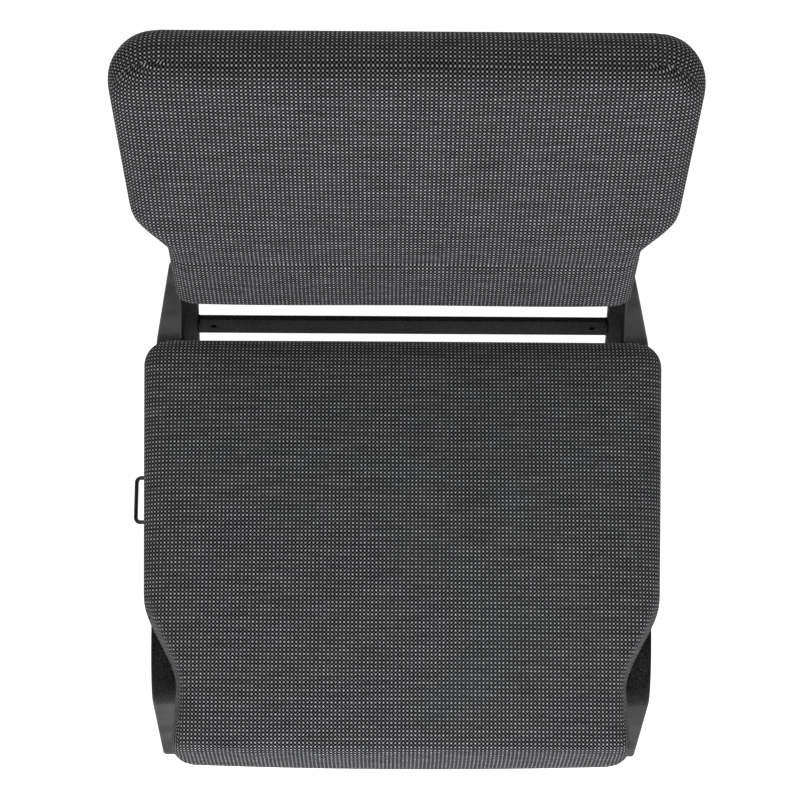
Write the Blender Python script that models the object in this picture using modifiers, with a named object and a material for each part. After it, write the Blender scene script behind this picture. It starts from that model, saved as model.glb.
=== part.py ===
"""Stacking church chair: two bent steel side frames, padded seat, padded back, slide-out ganging loop.

Metres, +Z up, +Y towards the back of the chair, origin on the floor under the middle of the chair.
"""
import math

import bmesh
import bpy
import numpy as np
from mathutils import Matrix, Vector

# Clearances
GAP = 0.0003
SKIN_CLEAR = 0.0007
RUN_CLEAR = 0.0004

# Side frame tube, bent to an upside-down U that leans out at the feet and opens towards the back
TUBE_ACROSS = 0.028
TUBE_DEEP = 0.020
TUBE_CORNER = 0.005
TUBE_WALL = 0.0015
RAIL_TOP = 0.388
RAIL_OUTER_WIDTH = 0.5430
SIDE_LEAN = math.radians(4.2)
SIDE_TOE = math.radians(0.8)
FRONT_FOOT_Y = -0.3045
FRONT_BEND_Y = -0.2455
REAR_BEND_Y = 0.1170
REAR_FOOT_Y = 0.3085
FRONT_BEND_RADIUS = 0.065
REAR_BEND_RADIUS = 0.100

# Floor glides and stacking bumpers
GLIDE_HEIGHT = 0.014
GLIDE_STEM = 0.022
GLIDE_BLANK = 0.042
BUMPER_LENGTH = 0.040
BUMPER_WIDTH = 0.016
BUMPER_HEIGHT = 0.006
BUMPER_YS = {"front": -0.170, "rear": 0.020}

# Cross rails under the seat
CROSS_TUBE = 0.020
CROSS_CORNER = 0.003
CROSS_YS = {"front": -0.150, "rear": 0.042}
SEAT_SCREW_X = 0.180

# Seat
SEAT_REAR_WIDTH = 0.5520
SEAT_WIDTH = 0.5380
SEAT_FRONT_WIDTH = 0.4720
SEAT_FRONT_Y = -0.3260
SEAT_REAR_Y = 0.1185
SEAT_FRONT_BOW = 0.0035
SEAT_TOP = 0.470
NOTCH_START_Y = -0.2510
NOTCH_END_Y = -0.1590
SEAT_FRONT_CORNER = 0.020
SEAT_REAR_CORNER = 0.028
SEAT_BOARD = 0.012
SEAT_BOARD_INSET = 0.003
SEAT_SIDE_HEIGHT = 0.034
SEAT_EDGE_ROUND = 0.030
SEAT_FRONT_FACE = 0.015
SEAT_FACE_SHARE = 0.62
SEAT_FRONT_ROLL = 0.0145
SEAT_FRONT_DROP = 0.030
SEAT_CROWN = 0.009
SEAT_DRAW_IN = 0.002
SEAT_WAIST_AT = 0.08
COVER_CLOTH = 0.0012
DUST_CLOTH = 0.0008
HEM_WIDTH = 0.016
DUST_MARGIN = 0.004

# Back: the front faces of the uprights make the line that everything on the back is measured from
UPRIGHT = 0.020
UPRIGHT_CORNER = 0.004
UPRIGHT_FOOT_Z = 0.326
BACK_Y = 0.1725
BACK_Z = 0.495
BACK_LOW_RECLINE = math.radians(16.0)
BACK_TURN = math.radians(12.5)
BACK_TURN_START = 0.120
BACK_TURN_RADIUS = 0.250
BACK_BOARD = 0.010
BACK_BOARD_HEIGHT = 0.335
UPRIGHT_BELOW_TOP = 0.063
UPRIGHT_TOP = BACK_BOARD_HEIGHT - UPRIGHT_BELOW_TOP
BACK_REAR_BOARD = 0.005
BACK_FOAM = 0.022
BACK_CROWN = 0.005
BACK_EDGE_ROUND = 0.022
BACK_SIDE_HEIGHT = 0.006
BACK_BOW = 0.002
BACK_BOW_HALF = 0.190
BACK_NARROW_WIDTH = 0.4700
BACK_WING_WIDTH = 0.5310
BACK_TOP_WIDTH = 0.5430
WING_START = 0.103
WING_END = 0.166
BACK_BOTTOM_CORNER = 0.012
BACK_TOP_CORNER = 0.048
TOP_ROLL = 0.015
CREASE_AT = 0.092
CREASE_DEPTH = 0.005
CREASE_WIDTH = 0.009
SPACER_LENGTH = 0.340
SPACER_HEIGHT = 0.036
BACK_SCREW_FROM_ENDS = (0.050, 0.110)
BACK_SCREW_AT = (BACK_SCREW_FROM_ENDS[0], BACK_BOARD_HEIGHT - BACK_SCREW_FROM_ENDS[1])
TOP_ROLL_FRONT = 0.70
TOP_ROLL_INSET = 0.014
SPACER_BELOW_TOP = 0.004
REAR_ROUND = 0.004
COVER_SLIT = 0.030
PLUG_STEM = 0.014
PLUG_CAP = 0.003

# Rear crossbar between the uprights
CROSSBAR_Z = 0.395
CROSSBAR_HEIGHT = 0.030
CROSSBAR_THICK = 0.006
CROSSBAR_HOLE = 0.007
CROSSBAR_HOLE_INSET = 0.016
CROSSBAR_SET_BACK = 0.002
CROSSBAR_CORNER = 0.0015

# Ganging loop on the left, hook on the right
LOOP_ROD = 0.0046
LOOP_Y = -0.0425
LOOP_LENGTH = 0.0535
LOOP_PROUD = 0.0220
LOOP_REACH = RAIL_OUTER_WIDTH / 2 + LOOP_PROUD
LOOP_BEND = 0.0050
LOOP_TRAVEL = 0.060
SLEEVE_OUTER = 0.009
SLEEVE_LENGTH = 0.044
SLEEVE_INSET = 0.0035
SLEEVE_OUT_X = RAIL_OUTER_WIDTH / 2 - SLEEVE_INSET
STOP_OUTER = 0.010
STOP_THICK = 0.003
STOP_CLEAR = 0.001
HOOK_WIDTH = 0.030
HOOK_THICK = 0.003
HOOK_INSET = 0.0240
HOOK_X = RAIL_OUTER_WIDTH / 2 - HOOK_INSET
HOOK_DROP = 0.032
HOOK_REACH = 0.018
HOOK_TIP = 0.015
HOOK_BEND = 0.004

# Screws
SCREW_SHANK = 0.0048
SCREW_HEAD = 0.0110
SCREW_HEAD_HIGH = 0.0035
SCREW_BITE = 0.008
SCREW_POINT = 0.5
SCREW_RIM = 0.4
SCREW_DOME = 0.7

# Facets
ARC_STEPS = 8
SMALL_ARC_STEPS = 5
EDGE_STEPS = 4
ROUND_SIDES = 16
ROLL_SIDES = 13
ROLL_LENGTHS = 17
SPACER_LENGTHS = 13
SHARP_ANGLE = math.radians(40)


def remove_everything():
    for item in list(bpy.data.objects):
        bpy.data.objects.remove(item, do_unlink=True)


def make_collection(name):
    collection = bpy.data.collections.new(name)
    bpy.context.scene.collection.children.link(collection)
    return collection


def make_material(name, colour, roughness, metallic):
    material = bpy.data.materials.new(name)
    material.use_nodes = True
    shader = material.node_tree.nodes["Principled BSDF"]
    shader.inputs["Base Color"].default_value = (*colour, 1.0)
    shader.inputs["Roughness"].default_value = roughness
    shader.inputs["Metallic"].default_value = metallic
    return material


remove_everything()
CHAIR = make_collection("church_chair")
CUTTERS = make_collection("cutters")
STEEL = make_material("black powder coated steel", (0.035, 0.035, 0.035), 0.45, 0.0)
FABRIC = make_material("charcoal dot fabric", (0.075, 0.075, 0.072), 0.95, 0.0)
FOAM = make_material("polyurethane foam", (0.72, 0.68, 0.48), 0.95, 0.0)
PLYWOOD = make_material("plywood", (0.55, 0.38, 0.21), 0.65, 0.0)
PLASTIC = make_material("black moulded plastic", (0.020, 0.020, 0.020), 0.50, 0.0)
LINING = make_material("black spun lining", (0.025, 0.025, 0.025), 0.95, 0.0)
ZINC_BLACK = make_material("black plated rod", (0.040, 0.040, 0.040), 0.38, 0.0)
ZINC = make_material("zinc plated steel", (0.55, 0.55, 0.53), 0.35, 1.0)


def put(name, data, material=None, matrix=None, collection=None):
    """Links a new object for one piece, or a cutter when no material is given."""
    item = bpy.data.objects.new(name, data)
    (collection or CHAIR).objects.link(item)
    if matrix is not None:
        item.matrix_world = matrix
    if material is not None:
        data.materials.append(material)
    return item


def as_cutter(item):
    """Keeps a guide or cutting shape out of the finished object."""
    item.hide_render = True
    item.display_type = "WIRE"
    return item


def mesh_of(name, bm):
    """Turns an edited mesh into mesh data with outward faces and smooth round sides."""
    bm.normal_update()
    bmesh.ops.recalc_face_normals(bm, faces=bm.faces[:])
    mesh = bpy.data.meshes.new(name)
    bm.to_mesh(mesh)
    bm.free()
    mesh.shade_smooth()
    mesh.set_sharp_from_angle(angle=SHARP_ANGLE)
    return mesh


def evaluated_copy(item):
    """The shape of a curve or a modified object as plain mesh data, with its ends welded."""
    bpy.context.view_layer.update()
    mesh = bpy.data.meshes.new_from_object(item.evaluated_get(bpy.context.evaluated_depsgraph_get()))
    bm = bmesh.new()
    bm.from_mesh(mesh)
    bmesh.ops.remove_doubles(bm, verts=bm.verts, dist=1e-6)
    bpy.data.meshes.remove(mesh)
    return mesh_of(item.name, bm)


def solidify(item, thickness):
    """Gives an open surface its wall, inwards from the modelled face."""
    wall = item.modifiers.new("wall", "SOLIDIFY")
    wall.thickness = thickness
    wall.offset = -1.0
    wall.use_even_offset = True


def cut(item, cutter):
    hole = item.modifiers.new("cut", "BOOLEAN")
    hole.operation = "DIFFERENCE"
    hole.object = cutter


def rounded_rectangle(width, height, radius, steps=3):
    """Corner arcs of a rectangle centred on the origin, anticlockwise."""
    points = []
    for corner in range(4):
        turn = corner * math.pi / 2
        sign_x = 1 if corner in (0, 3) else -1
        sign_y = 1 if corner in (0, 1) else -1
        centre = (sign_x * (width / 2 - radius), sign_y * (height / 2 - radius))
        for step in range(steps + 1):
            angle = turn + step / steps * math.pi / 2
            points.append((centre[0] + radius * math.cos(angle), centre[1] + radius * math.sin(angle)))
    return points


def bent_path(corners, radii, steps=ARC_STEPS):
    """A run of straight lines with each inner corner turned on an arc of its own radius."""
    points = [Vector(corners[0])]
    for before, corner, after, radius in zip(corners, corners[1:], corners[2:], radii):
        corner = Vector(corner)
        back = (Vector(before) - corner).normalized()
        ahead = (Vector(after) - corner).normalized()
        half = back.angle(ahead) / 2
        centre = corner + (back + ahead).normalized() * (radius / math.sin(half))
        start = (corner + back * (radius / math.tan(half)) - centre).normalized()
        end = (corner + ahead * (radius / math.tan(half)) - centre).normalized()
        for step in range(steps + 1):
            points.append(centre + start.slerp(end, step / steps) * radius)
    points.append(Vector(corners[-1]))
    return points


def poly_curve(name, points, closed=False, dimensions="3D"):
    curve = bpy.data.curves.new(name, "CURVE")
    curve.dimensions = dimensions
    curve.twist_mode = "Z_UP"
    spline = curve.splines.new("POLY")
    spline.points.add(len(points) - 1)
    for spot, point in zip(spline.points, points):
        spot.co = (*Vector(point).to_3d(), 1.0)
    spline.use_cyclic_u = closed
    return curve


def swept(name, path, section, material, matrix, wall=0.0):
    """Carries a closed section along a flat path; a wall leaves the tube hollow and open at its ends."""
    outline = poly_curve(name + "_section", section, True, "2D")
    profile = as_cutter(put(name + "_section", outline, None, None, CUTTERS))
    curve = poly_curve(name, path)
    curve.bevel_mode = "OBJECT"
    curve.bevel_object = profile
    curve.use_fill_caps = wall == 0.0
    draft = put(name + "_draft", curve)
    mesh = evaluated_copy(draft)
    bpy.data.objects.remove(draft, do_unlink=True)
    item = put(name, mesh, material, matrix)
    if wall:
        solidify(item, wall)
    return item


def rod(name, path, radius, material, matrix=None):
    """A round rod along a path, closed at both ends."""
    curve = poly_curve(name, path)
    curve.bevel_depth = radius
    curve.bevel_resolution = 2
    curve.use_fill_caps = True
    draft = put(name + "_draft", curve)
    mesh = evaluated_copy(draft)
    bpy.data.objects.remove(draft, do_unlink=True)
    return put(name, mesh, material, matrix)


def turned(name, profile, material, matrix):
    """A profile of radius and height, run down its outer side, turned about its own Z axis."""
    mesh = bpy.data.meshes.new(name)
    points = [(radius, 0.0, height) for radius, height in profile]
    mesh.from_pydata(points, [(i, i + 1) for i in range(len(points) - 1)], [])
    item = put(name, mesh, material, matrix)
    screw = item.modifiers.new("turn", "SCREW")
    screw.steps = ROUND_SIDES
    screw.render_steps = ROUND_SIDES
    screw.use_merge_vertices = True
    screw.merge_threshold = 1e-5
    return item


def flat_plate(name, outline, thickness, matrix, material, holes=()):
    """A flat outline with round holes, given its thickness about its own plane."""
    curve = poly_curve(name, outline, True, "2D")
    curve.fill_mode = "BOTH"
    curve.extrude = thickness / 2
    for centre, radius in holes:
        spline = curve.splines.new("POLY")
        spline.points.add(ROUND_SIDES - 1)
        for step, spot in enumerate(spline.points):
            angle = 2 * math.pi * step / ROUND_SIDES
            spot.co = (centre[0] + radius * math.cos(angle), centre[1] + radius * math.sin(angle), 0.0, 1.0)
        spline.use_cyclic_u = True
    draft = put(name + "_draft", curve)
    mesh = evaluated_copy(draft)
    bpy.data.objects.remove(draft, do_unlink=True)
    return put(name, mesh, material, matrix)


def cylinder_cutter(name, radius, start, end):
    """A cutting cylinder between two points."""
    start = Vector(start)
    along = Vector(end) - start
    bm = bmesh.new()
    bmesh.ops.create_cone(
        bm, cap_ends=True, segments=ROUND_SIDES, radius1=radius, radius2=radius, depth=along.length
    )
    place = Matrix.Translation(start + along / 2) @ along.to_track_quat("Z", "Y").to_matrix().to_4x4()
    return as_cutter(put(name, mesh_of(name, bm), None, place, CUTTERS))


def lofted(name, rings, material, matrix, floor_at=None):
    """A solid through closed rings of equal count, cut level at a world height where one is given."""
    bm = bmesh.new()
    loops = [[bm.verts.new(point) for point in ring] for ring in rings]
    for lower, upper in zip(loops, loops[1:]):
        for i in range(len(lower)):
            j = (i + 1) % len(lower)
            bm.faces.new((lower[i], lower[j], upper[j], upper[i]))
    bm.faces.new(loops[0])
    bm.faces.new(loops[-1])
    if floor_at is not None:
        bm.transform(matrix)
        geometry = bm.verts[:] + bm.edges[:] + bm.faces[:]
        found = bmesh.ops.bisect_plane(
            bm, geom=geometry, plane_co=(0, 0, floor_at), plane_no=(0, 0, -1), clear_outer=True
        )
        edges = [part for part in found["geom_cut"] if isinstance(part, bmesh.types.BMEdge)]
        bmesh.ops.contextual_create(bm, geom=edges)
        bm.transform(matrix.inverted())
    return put(name, mesh_of(name, bm), material, matrix)


# The plane of a side frame: along the rail, up the lean, and square to both

RAIL_Z = RAIL_TOP - (
    (TUBE_DEEP / 2 - TUBE_CORNER) * math.cos(SIDE_LEAN)
    + (TUBE_ACROSS / 2 - TUBE_CORNER) * math.sin(SIDE_LEAN)
    + TUBE_CORNER
)
RAIL_X = RAIL_OUTER_WIDTH / 2 - TUBE_ACROSS / 2
RAIL_BOTTOM = 2 * RAIL_Z - RAIL_TOP


def side_matrix(side, inward=0.0):
    """Frame of the left (-1) or right (+1) side: local X runs back, local Y up, local Z to the right."""
    back = Vector((side * math.sin(SIDE_TOE), math.cos(SIDE_TOE), 0.0))
    up = Vector(
        (
            -side * math.sin(SIDE_LEAN) * math.cos(SIDE_TOE),
            math.sin(SIDE_LEAN) * math.sin(SIDE_TOE),
            math.cos(SIDE_LEAN),
        )
    )
    right = back.cross(up)
    origin = Vector((side * RAIL_X, 0.0, RAIL_Z)) - right * (side * inward)
    frame = Matrix((back, up, right)).transposed().to_4x4()
    frame.translation = origin
    return frame


def side_local(y, z, inward=0.0):
    """Where a world depth and height lie in a side frame's own plane."""
    frame = side_matrix(1, inward)
    up = (z - frame.translation.z) / math.cos(SIDE_LEAN)
    back = (y - frame.translation.y - up * frame[1][1]) / frame[1][0]
    return Vector((back, up))


def inner_face_x(y, z, inward):
    """World X of the face that lies a distance inward of the right side frame's middle plane."""
    frame = side_matrix(1)
    normal = frame.col[2].to_3d()
    origin = frame.translation
    return origin.x + (-inward - normal.y * (y - origin.y) - normal.z * (z - origin.z)) / normal.x


def side_frames():
    """The bent tubes with their glides and stacking bumpers."""
    front_foot = side_local(FRONT_FOOT_Y, 0.0)
    rear_foot = side_local(REAR_FOOT_Y, 0.0)
    front_corner = Vector((FRONT_BEND_Y, 0.0))
    rear_corner = Vector((REAR_BEND_Y, 0.0))
    ends = {}
    for foot, corner, label in ((front_foot, front_corner, "front"), (rear_foot, rear_corner, "rear")):
        down = (foot - corner).normalized()
        ends[label] = (foot, down, foot - down * (GLIDE_HEIGHT / -down.y))
    corners = [ends["front"][2], front_corner, rear_corner, ends["rear"][2]]
    path = bent_path(corners, (FRONT_BEND_RADIUS, REAR_BEND_RADIUS))
    section = rounded_rectangle(TUBE_DEEP, TUBE_ACROSS, TUBE_CORNER)
    for side, label in ((-1, "left"), (1, "right")):
        frame = side_matrix(side)
        swept(f"{label}_side_frame", path, section, STEEL, frame, TUBE_WALL)
        for end, (foot, down, tube_end) in ends.items():
            floor_glide(f"{end}_{label}_glide", frame, tube_end, down)
        for end, y in BUMPER_YS.items():
            stacking_bumper(f"{end}_{label}_bumper", frame, y)


def floor_glide(name, frame, tube_end, down):
    """A moulded plug: a stem in the bore, a shoulder under the tube's end, ground level with the floor."""
    bore = 2 * (TUBE_WALL + RUN_CLEAR)
    across = Vector((-down.y, down.x))
    bore_ring = rounded_rectangle(TUBE_DEEP - bore, TUBE_ACROSS - bore, TUBE_CORNER - TUBE_WALL)
    foot_ring = rounded_rectangle(TUBE_DEEP, TUBE_ACROSS, TUBE_CORNER)
    levels = ((bore_ring, -GLIDE_STEM), (bore_ring, GAP), (foot_ring, GAP), (foot_ring, GLIDE_BLANK))
    rings = []
    for ring, depth in levels:
        spots = [tube_end + down * depth + across * point[0] for point in ring]
        rings.append([(spot.x, spot.y, point[1]) for spot, point in zip(spots, ring)])
    lofted(name, rings, PLASTIC, frame, 0.0)


def stacking_bumper(name, frame, y):
    """A soft pad under the rail that rests on the chair stacked below, with rounded lower edges."""
    bm = bmesh.new()
    bmesh.ops.create_cube(bm, size=1.0)
    bmesh.ops.scale(bm, vec=(BUMPER_LENGTH, BUMPER_HEIGHT, BUMPER_WIDTH), verts=bm.verts)
    bmesh.ops.translate(bm, vec=(y, -TUBE_DEEP / 2 - GAP - BUMPER_HEIGHT / 2, 0.0), verts=bm.verts)
    low = min(vert.co.y for vert in bm.verts)
    edges = [edge for edge in bm.edges if all(abs(vert.co.y - low) < 1e-6 for vert in edge.verts)]
    bmesh.ops.bevel(bm, geom=edges, offset=BUMPER_HEIGHT / 2, segments=3, affect="EDGES")
    put(name, mesh_of(name, bm), PLASTIC, frame)


def cross_rails():
    """Square tubes between the side rails that carry the seat, drilled for its screws."""
    inward = TUBE_ACROSS / 2
    half = CROSS_TUBE / 2
    low = RAIL_TOP - CROSS_TUBE
    for end, y in CROSS_YS.items():
        reach = min(inner_face_x(y + dy, z, inward) for dy in (-half, half) for z in (low, RAIL_TOP)) - GAP
        section = rounded_rectangle(CROSS_TUBE, CROSS_TUBE, CROSS_CORNER)
        place = Matrix.Translation((0.0, y, RAIL_TOP - half))
        rail = swept(f"{end}_seat_rail", [(-reach, 0.0), (reach, 0.0)], section, STEEL, place, TUBE_WALL)
        for side, label in ((-1, "left"), (1, "right")):
            x = side * SEAT_SCREW_X
            name = f"{end}_{label}_seat_screw"
            hole = cylinder_cutter(
                name + "_hole",
                SCREW_SHANK / 2 + RUN_CLEAR,
                (x, y, low - CROSS_TUBE),
                (x, y, RAIL_TOP + CROSS_TUBE),
            )
            cut(rail, hole)
            length = CROSS_TUBE + GAP + SEAT_BOARD_BOTTOM - RAIL_TOP + SCREW_BITE
            screw(name, Matrix.Translation((x, y, low - GAP)), length)


def screw(name, matrix, length):
    """A pan-head screw whose head lies below the origin and whose shank runs up its own Z axis."""
    head = SCREW_HEAD / 2
    shank = SCREW_SHANK / 2
    profile = [(0.0, length), (shank * SCREW_POINT, length), (shank, length - shank), (shank, 0.0)]
    profile += [(head, 0.0)]
    profile += [(head, -SCREW_HEAD_HIGH * SCREW_RIM), (head * SCREW_DOME, -SCREW_HEAD_HIGH)]
    profile += [(0.0, -SCREW_HEAD_HIGH)]
    turned(name, profile, ZINC, matrix)


# Padded pieces: grids over an outline given by its half width at each station

SEAT_MIDDLE_YS = np.linspace(NOTCH_END_Y + SEAT_EDGE_ROUND, SEAT_REAR_Y - 2 * SEAT_EDGE_ROUND, 5)
SEAT_ACROSS = np.linspace(-0.7, 0.7, 7)
SEAT_FACE_STEPS = np.array([0.0, 0.15, 0.5])
BACK_STATIONS = np.concatenate(
    [
        CREASE_AT + CREASE_WIDTH * np.array([-3, -2, -1, 0]),
        np.linspace(CREASE_AT + CREASE_WIDTH, WING_END, 6),
        np.linspace(WING_END, BACK_BOARD_HEIGHT - BACK_TOP_CORNER, 4)[1:],
        np.linspace(BACK_BOARD_HEIGHT - BACK_TOP_CORNER, BACK_BOARD_HEIGHT, 6)[1:],
    ]
)
BACK_ACROSS = np.linspace(-0.75, 0.75, 7)
HEM_BOTTOM = RAIL_TOP + GAP
SEAT_BOARD_BOTTOM = HEM_BOTTOM + COVER_CLOTH + GAP
SEAT_FOAM_BOTTOM = SEAT_BOARD_BOTTOM + SEAT_BOARD + GAP


def smooth_step(start, end, value):
    share = np.clip((value - start) / (end - start), 0.0, 1.0)
    return share * share * (3.0 - 2.0 * share)


def corner_loss(distance, radius):
    """How far a rounded corner draws an outline in, at a distance from its end."""
    inside = np.clip(1.0 - np.maximum(distance, 0.0) / radius, 0.0, 1.0)
    return radius * (1.0 - np.sqrt(1.0 - inside * inside))


def round_over(distance, radius):
    """Rises from 0 at an edge to 1 at the radius on a quarter ellipse."""
    inside = np.clip(1.0 - np.maximum(distance, 0.0) / radius, 0.0, 1.0)
    return np.sqrt(1.0 - inside * inside)


def seat_half_width(y, grow=0.0):
    """Half the seat's width: widest behind, notched at the front where stacked legs pass."""
    wide = smooth_step(NOTCH_START_Y, NOTCH_END_Y, y)
    taper = np.clip((y - NOTCH_END_Y) / (SEAT_REAR_Y - NOTCH_END_Y), 0.0, 1.0)
    full = SEAT_WIDTH + (SEAT_REAR_WIDTH - SEAT_WIDTH) * taper
    half = (SEAT_FRONT_WIDTH + (full - SEAT_FRONT_WIDTH) * wide) / 2 + grow
    half = half - corner_loss(y - (SEAT_FRONT_Y - grow), SEAT_FRONT_CORNER)
    return half - corner_loss(SEAT_REAR_Y + grow - y, SEAT_REAR_CORNER)


def back_half_width(s, grow=0.0):
    """Half the back's width: narrow at the foot, stepping out to the wings, rounded at the top."""
    top = BACK_BOARD_HEIGHT + TOP_ROLL
    wide = smooth_step(WING_START, WING_END, s)
    flare = np.clip((s - WING_END) / (top - WING_END), 0.0, 1.0)
    full = BACK_WING_WIDTH + (BACK_TOP_WIDTH - BACK_WING_WIDTH) * flare
    half = (BACK_NARROW_WIDTH + (full - BACK_NARROW_WIDTH) * wide) / 2 + grow
    half = half - corner_loss(s + grow, BACK_BOTTOM_CORNER)
    return half - corner_loss(top + grow - s, BACK_TOP_CORNER)


def edge_stations(start, end, start_round, end_round, middle):
    """Stations from start to end, close together on the rounded edges."""
    shares = 1.0 - np.cos(np.linspace(0.0, math.pi / 2, EDGE_STEPS))
    head = start + start_round * shares
    tail = end - end_round * shares[::-1]
    inner = [value for value in middle if head[-1] + 1e-4 < value < tail[0] - 1e-4]
    return np.concatenate([head, inner, tail])


def back_place(s):
    """Depth, height and recline of the uprights' front line, a distance s up from the foot of the back."""
    s = np.asarray(s, float)
    turn_length = BACK_TURN * BACK_TURN_RADIUS
    low = np.minimum(s, BACK_TURN_START)
    turn = np.clip((s - BACK_TURN_START) / turn_length, 0.0, 1.0) * BACK_TURN
    high = np.maximum(s - BACK_TURN_START - turn_length, 0.0)
    first = BACK_LOW_RECLINE
    last = BACK_LOW_RECLINE + BACK_TURN
    y = BACK_Y + low * math.sin(first) + high * math.sin(last)
    y = y + BACK_TURN_RADIUS * (math.cos(first) - np.cos(first + turn))
    z = BACK_Z + low * math.cos(first) + high * math.cos(last)
    z = z + BACK_TURN_RADIUS * (np.sin(first + turn) - math.sin(first))
    return y, z, first + turn


def back_point(x, s, n):
    """World point at a width, a height up the back and a distance n behind the uprights' front line."""
    y, z, recline = back_place(s)
    return np.stack(np.broadcast_arrays(x, y + n * np.cos(recline), z - n * np.sin(recline)), -1)


def back_bow(x):
    """The middle of the back lies further back than its sides, which stay flat on the uprights."""
    share = np.clip(1.0 - (x / BACK_BOW_HALF) ** 2, 0.0, 1.0)
    return BACK_BOW * share * share


def grid_loop(rows, columns):
    """Index of each boundary point of a grid, in order round it."""
    index = np.arange(rows * columns).reshape(rows, columns)
    return np.concatenate([index[0, :-1], index[:-1, -1], index[-1, :0:-1], index[:0:-1, 0]])


def padded(face, rings, closed_by=None, open_first_row=False):
    """A grid face with rings hung from its edge, left open or closed by a second grid of the same count."""
    rows, columns = face.shape[:2]
    bm = bmesh.new()
    grid = [bm.verts.new(point) for point in face.reshape(-1, 3)]
    quads = [(r * columns + c, r * columns + c + 1) for r in range(rows - 1) for c in range(columns - 1)]
    for a, b in quads:
        bm.faces.new((grid[a], grid[b], grid[b + columns], grid[a + columns]))
    edge = grid_loop(rows, columns)
    last = [grid[i] for i in edge]
    for ring in rings:
        fresh = [bm.verts.new(point) for point in ring]
        for i in range(len(fresh)):
            j = (i + 1) % len(fresh)
            bm.faces.new((last[i], last[j], fresh[j], fresh[i]))
        last = fresh
    if closed_by is not None:
        far = [bm.verts.new(point) for point in closed_by.reshape(-1, 3)]
        for a, b in quads:
            bm.faces.new((far[a], far[a + columns], far[b + columns], far[b]))
        first = columns - 1 if open_first_row else 0
        for i in range(first, len(edge)):
            j = (i + 1) % len(edge)
            bm.faces.new((last[i], last[j], far[edge[j]], far[edge[i]]))
    return bm


def front_profile(distance):
    """Share of the height behind the front edge: a straight steep face, then a sine roll on to the top."""
    face = SEAT_FACE_SHARE * np.clip(distance / SEAT_FRONT_FACE, 0.0, 1.0)
    roll = np.sin(math.pi / 2 * np.clip((distance - SEAT_FRONT_FACE) / SEAT_FRONT_ROLL, 0.0, 1.0))
    return face + (1.0 - SEAT_FACE_SHARE) * roll


def seat_grid(grow, inset=0.0):
    """Plan positions of the seat's grid, grown all round or drawn in all round."""
    spread = grow - inset
    front = SEAT_FRONT_Y - grow
    ys = edge_stations(
        front + SEAT_FRONT_FACE,
        SEAT_REAR_Y + grow,
        SEAT_FRONT_ROLL,
        SEAT_EDGE_ROUND,
        np.concatenate([np.linspace(NOTCH_START_Y, NOTCH_END_Y, 8), SEAT_MIDDLE_YS]),
    )
    ys = np.concatenate([front + SEAT_FRONT_FACE * SEAT_FACE_STEPS, ys])
    half = seat_half_width(ys, grow)
    edge = SEAT_EDGE_ROUND / (SEAT_FRONT_WIDTH / 2)
    us = edge_stations(-1.0, 1.0, edge, edge, SEAT_ACROSS)
    x = us[None, :] * half[:, None]
    y = np.repeat(ys[:, None], len(us), 1)
    distance = (1.0 - np.abs(us))[None, :] * half[:, None]
    rise = round_over(distance, SEAT_EDGE_ROUND)
    front_rise = front_profile(y - front)
    rise = rise * front_rise
    rise = rise * round_over(SEAT_REAR_Y + grow - y, SEAT_EDGE_ROUND)
    middle = (SEAT_FRONT_Y + SEAT_REAR_Y) / 2
    depth = (SEAT_REAR_Y - SEAT_FRONT_Y) / 2
    crown = SEAT_CROWN * (1.0 - us[None, :] ** 2) * np.clip(1.0 - ((y - middle) / depth) ** 2, 0.0, 1.0)
    shrink = 1.0 + (spread - grow) / half
    shrink_y = 1.0 + (spread - grow) / depth
    bow = SEAT_FRONT_BOW * (1.0 - us[None, :] ** 2) * np.clip((middle - y) / depth, 0.0, 1.0)
    return x * shrink[:, None], middle + (y - middle) * shrink_y - bow, rise, crown, front_rise


def seat_face(grow):
    """Top of the seat pad: sides of even height, a rounded edge, a long waterfall front and a crown."""
    x, y, rise, crown, front_rise = seat_grid(grow)
    shoulder = SEAT_FOAM_BOTTOM + SEAT_SIDE_HEIGHT
    z = shoulder + grow + (SEAT_TOP - SEAT_CROWN - shoulder) * rise + crown * rise
    z = z - SEAT_FRONT_DROP * (1.0 - front_rise)
    return np.stack([x, y, z], -1)


def seat_ring(grow, inset, z):
    x, y = seat_grid(grow, inset)[:2]
    points = np.stack([x, y, np.full_like(x, z)], -1)
    return points.reshape(-1, 3)[grid_loop(*x.shape)]


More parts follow.
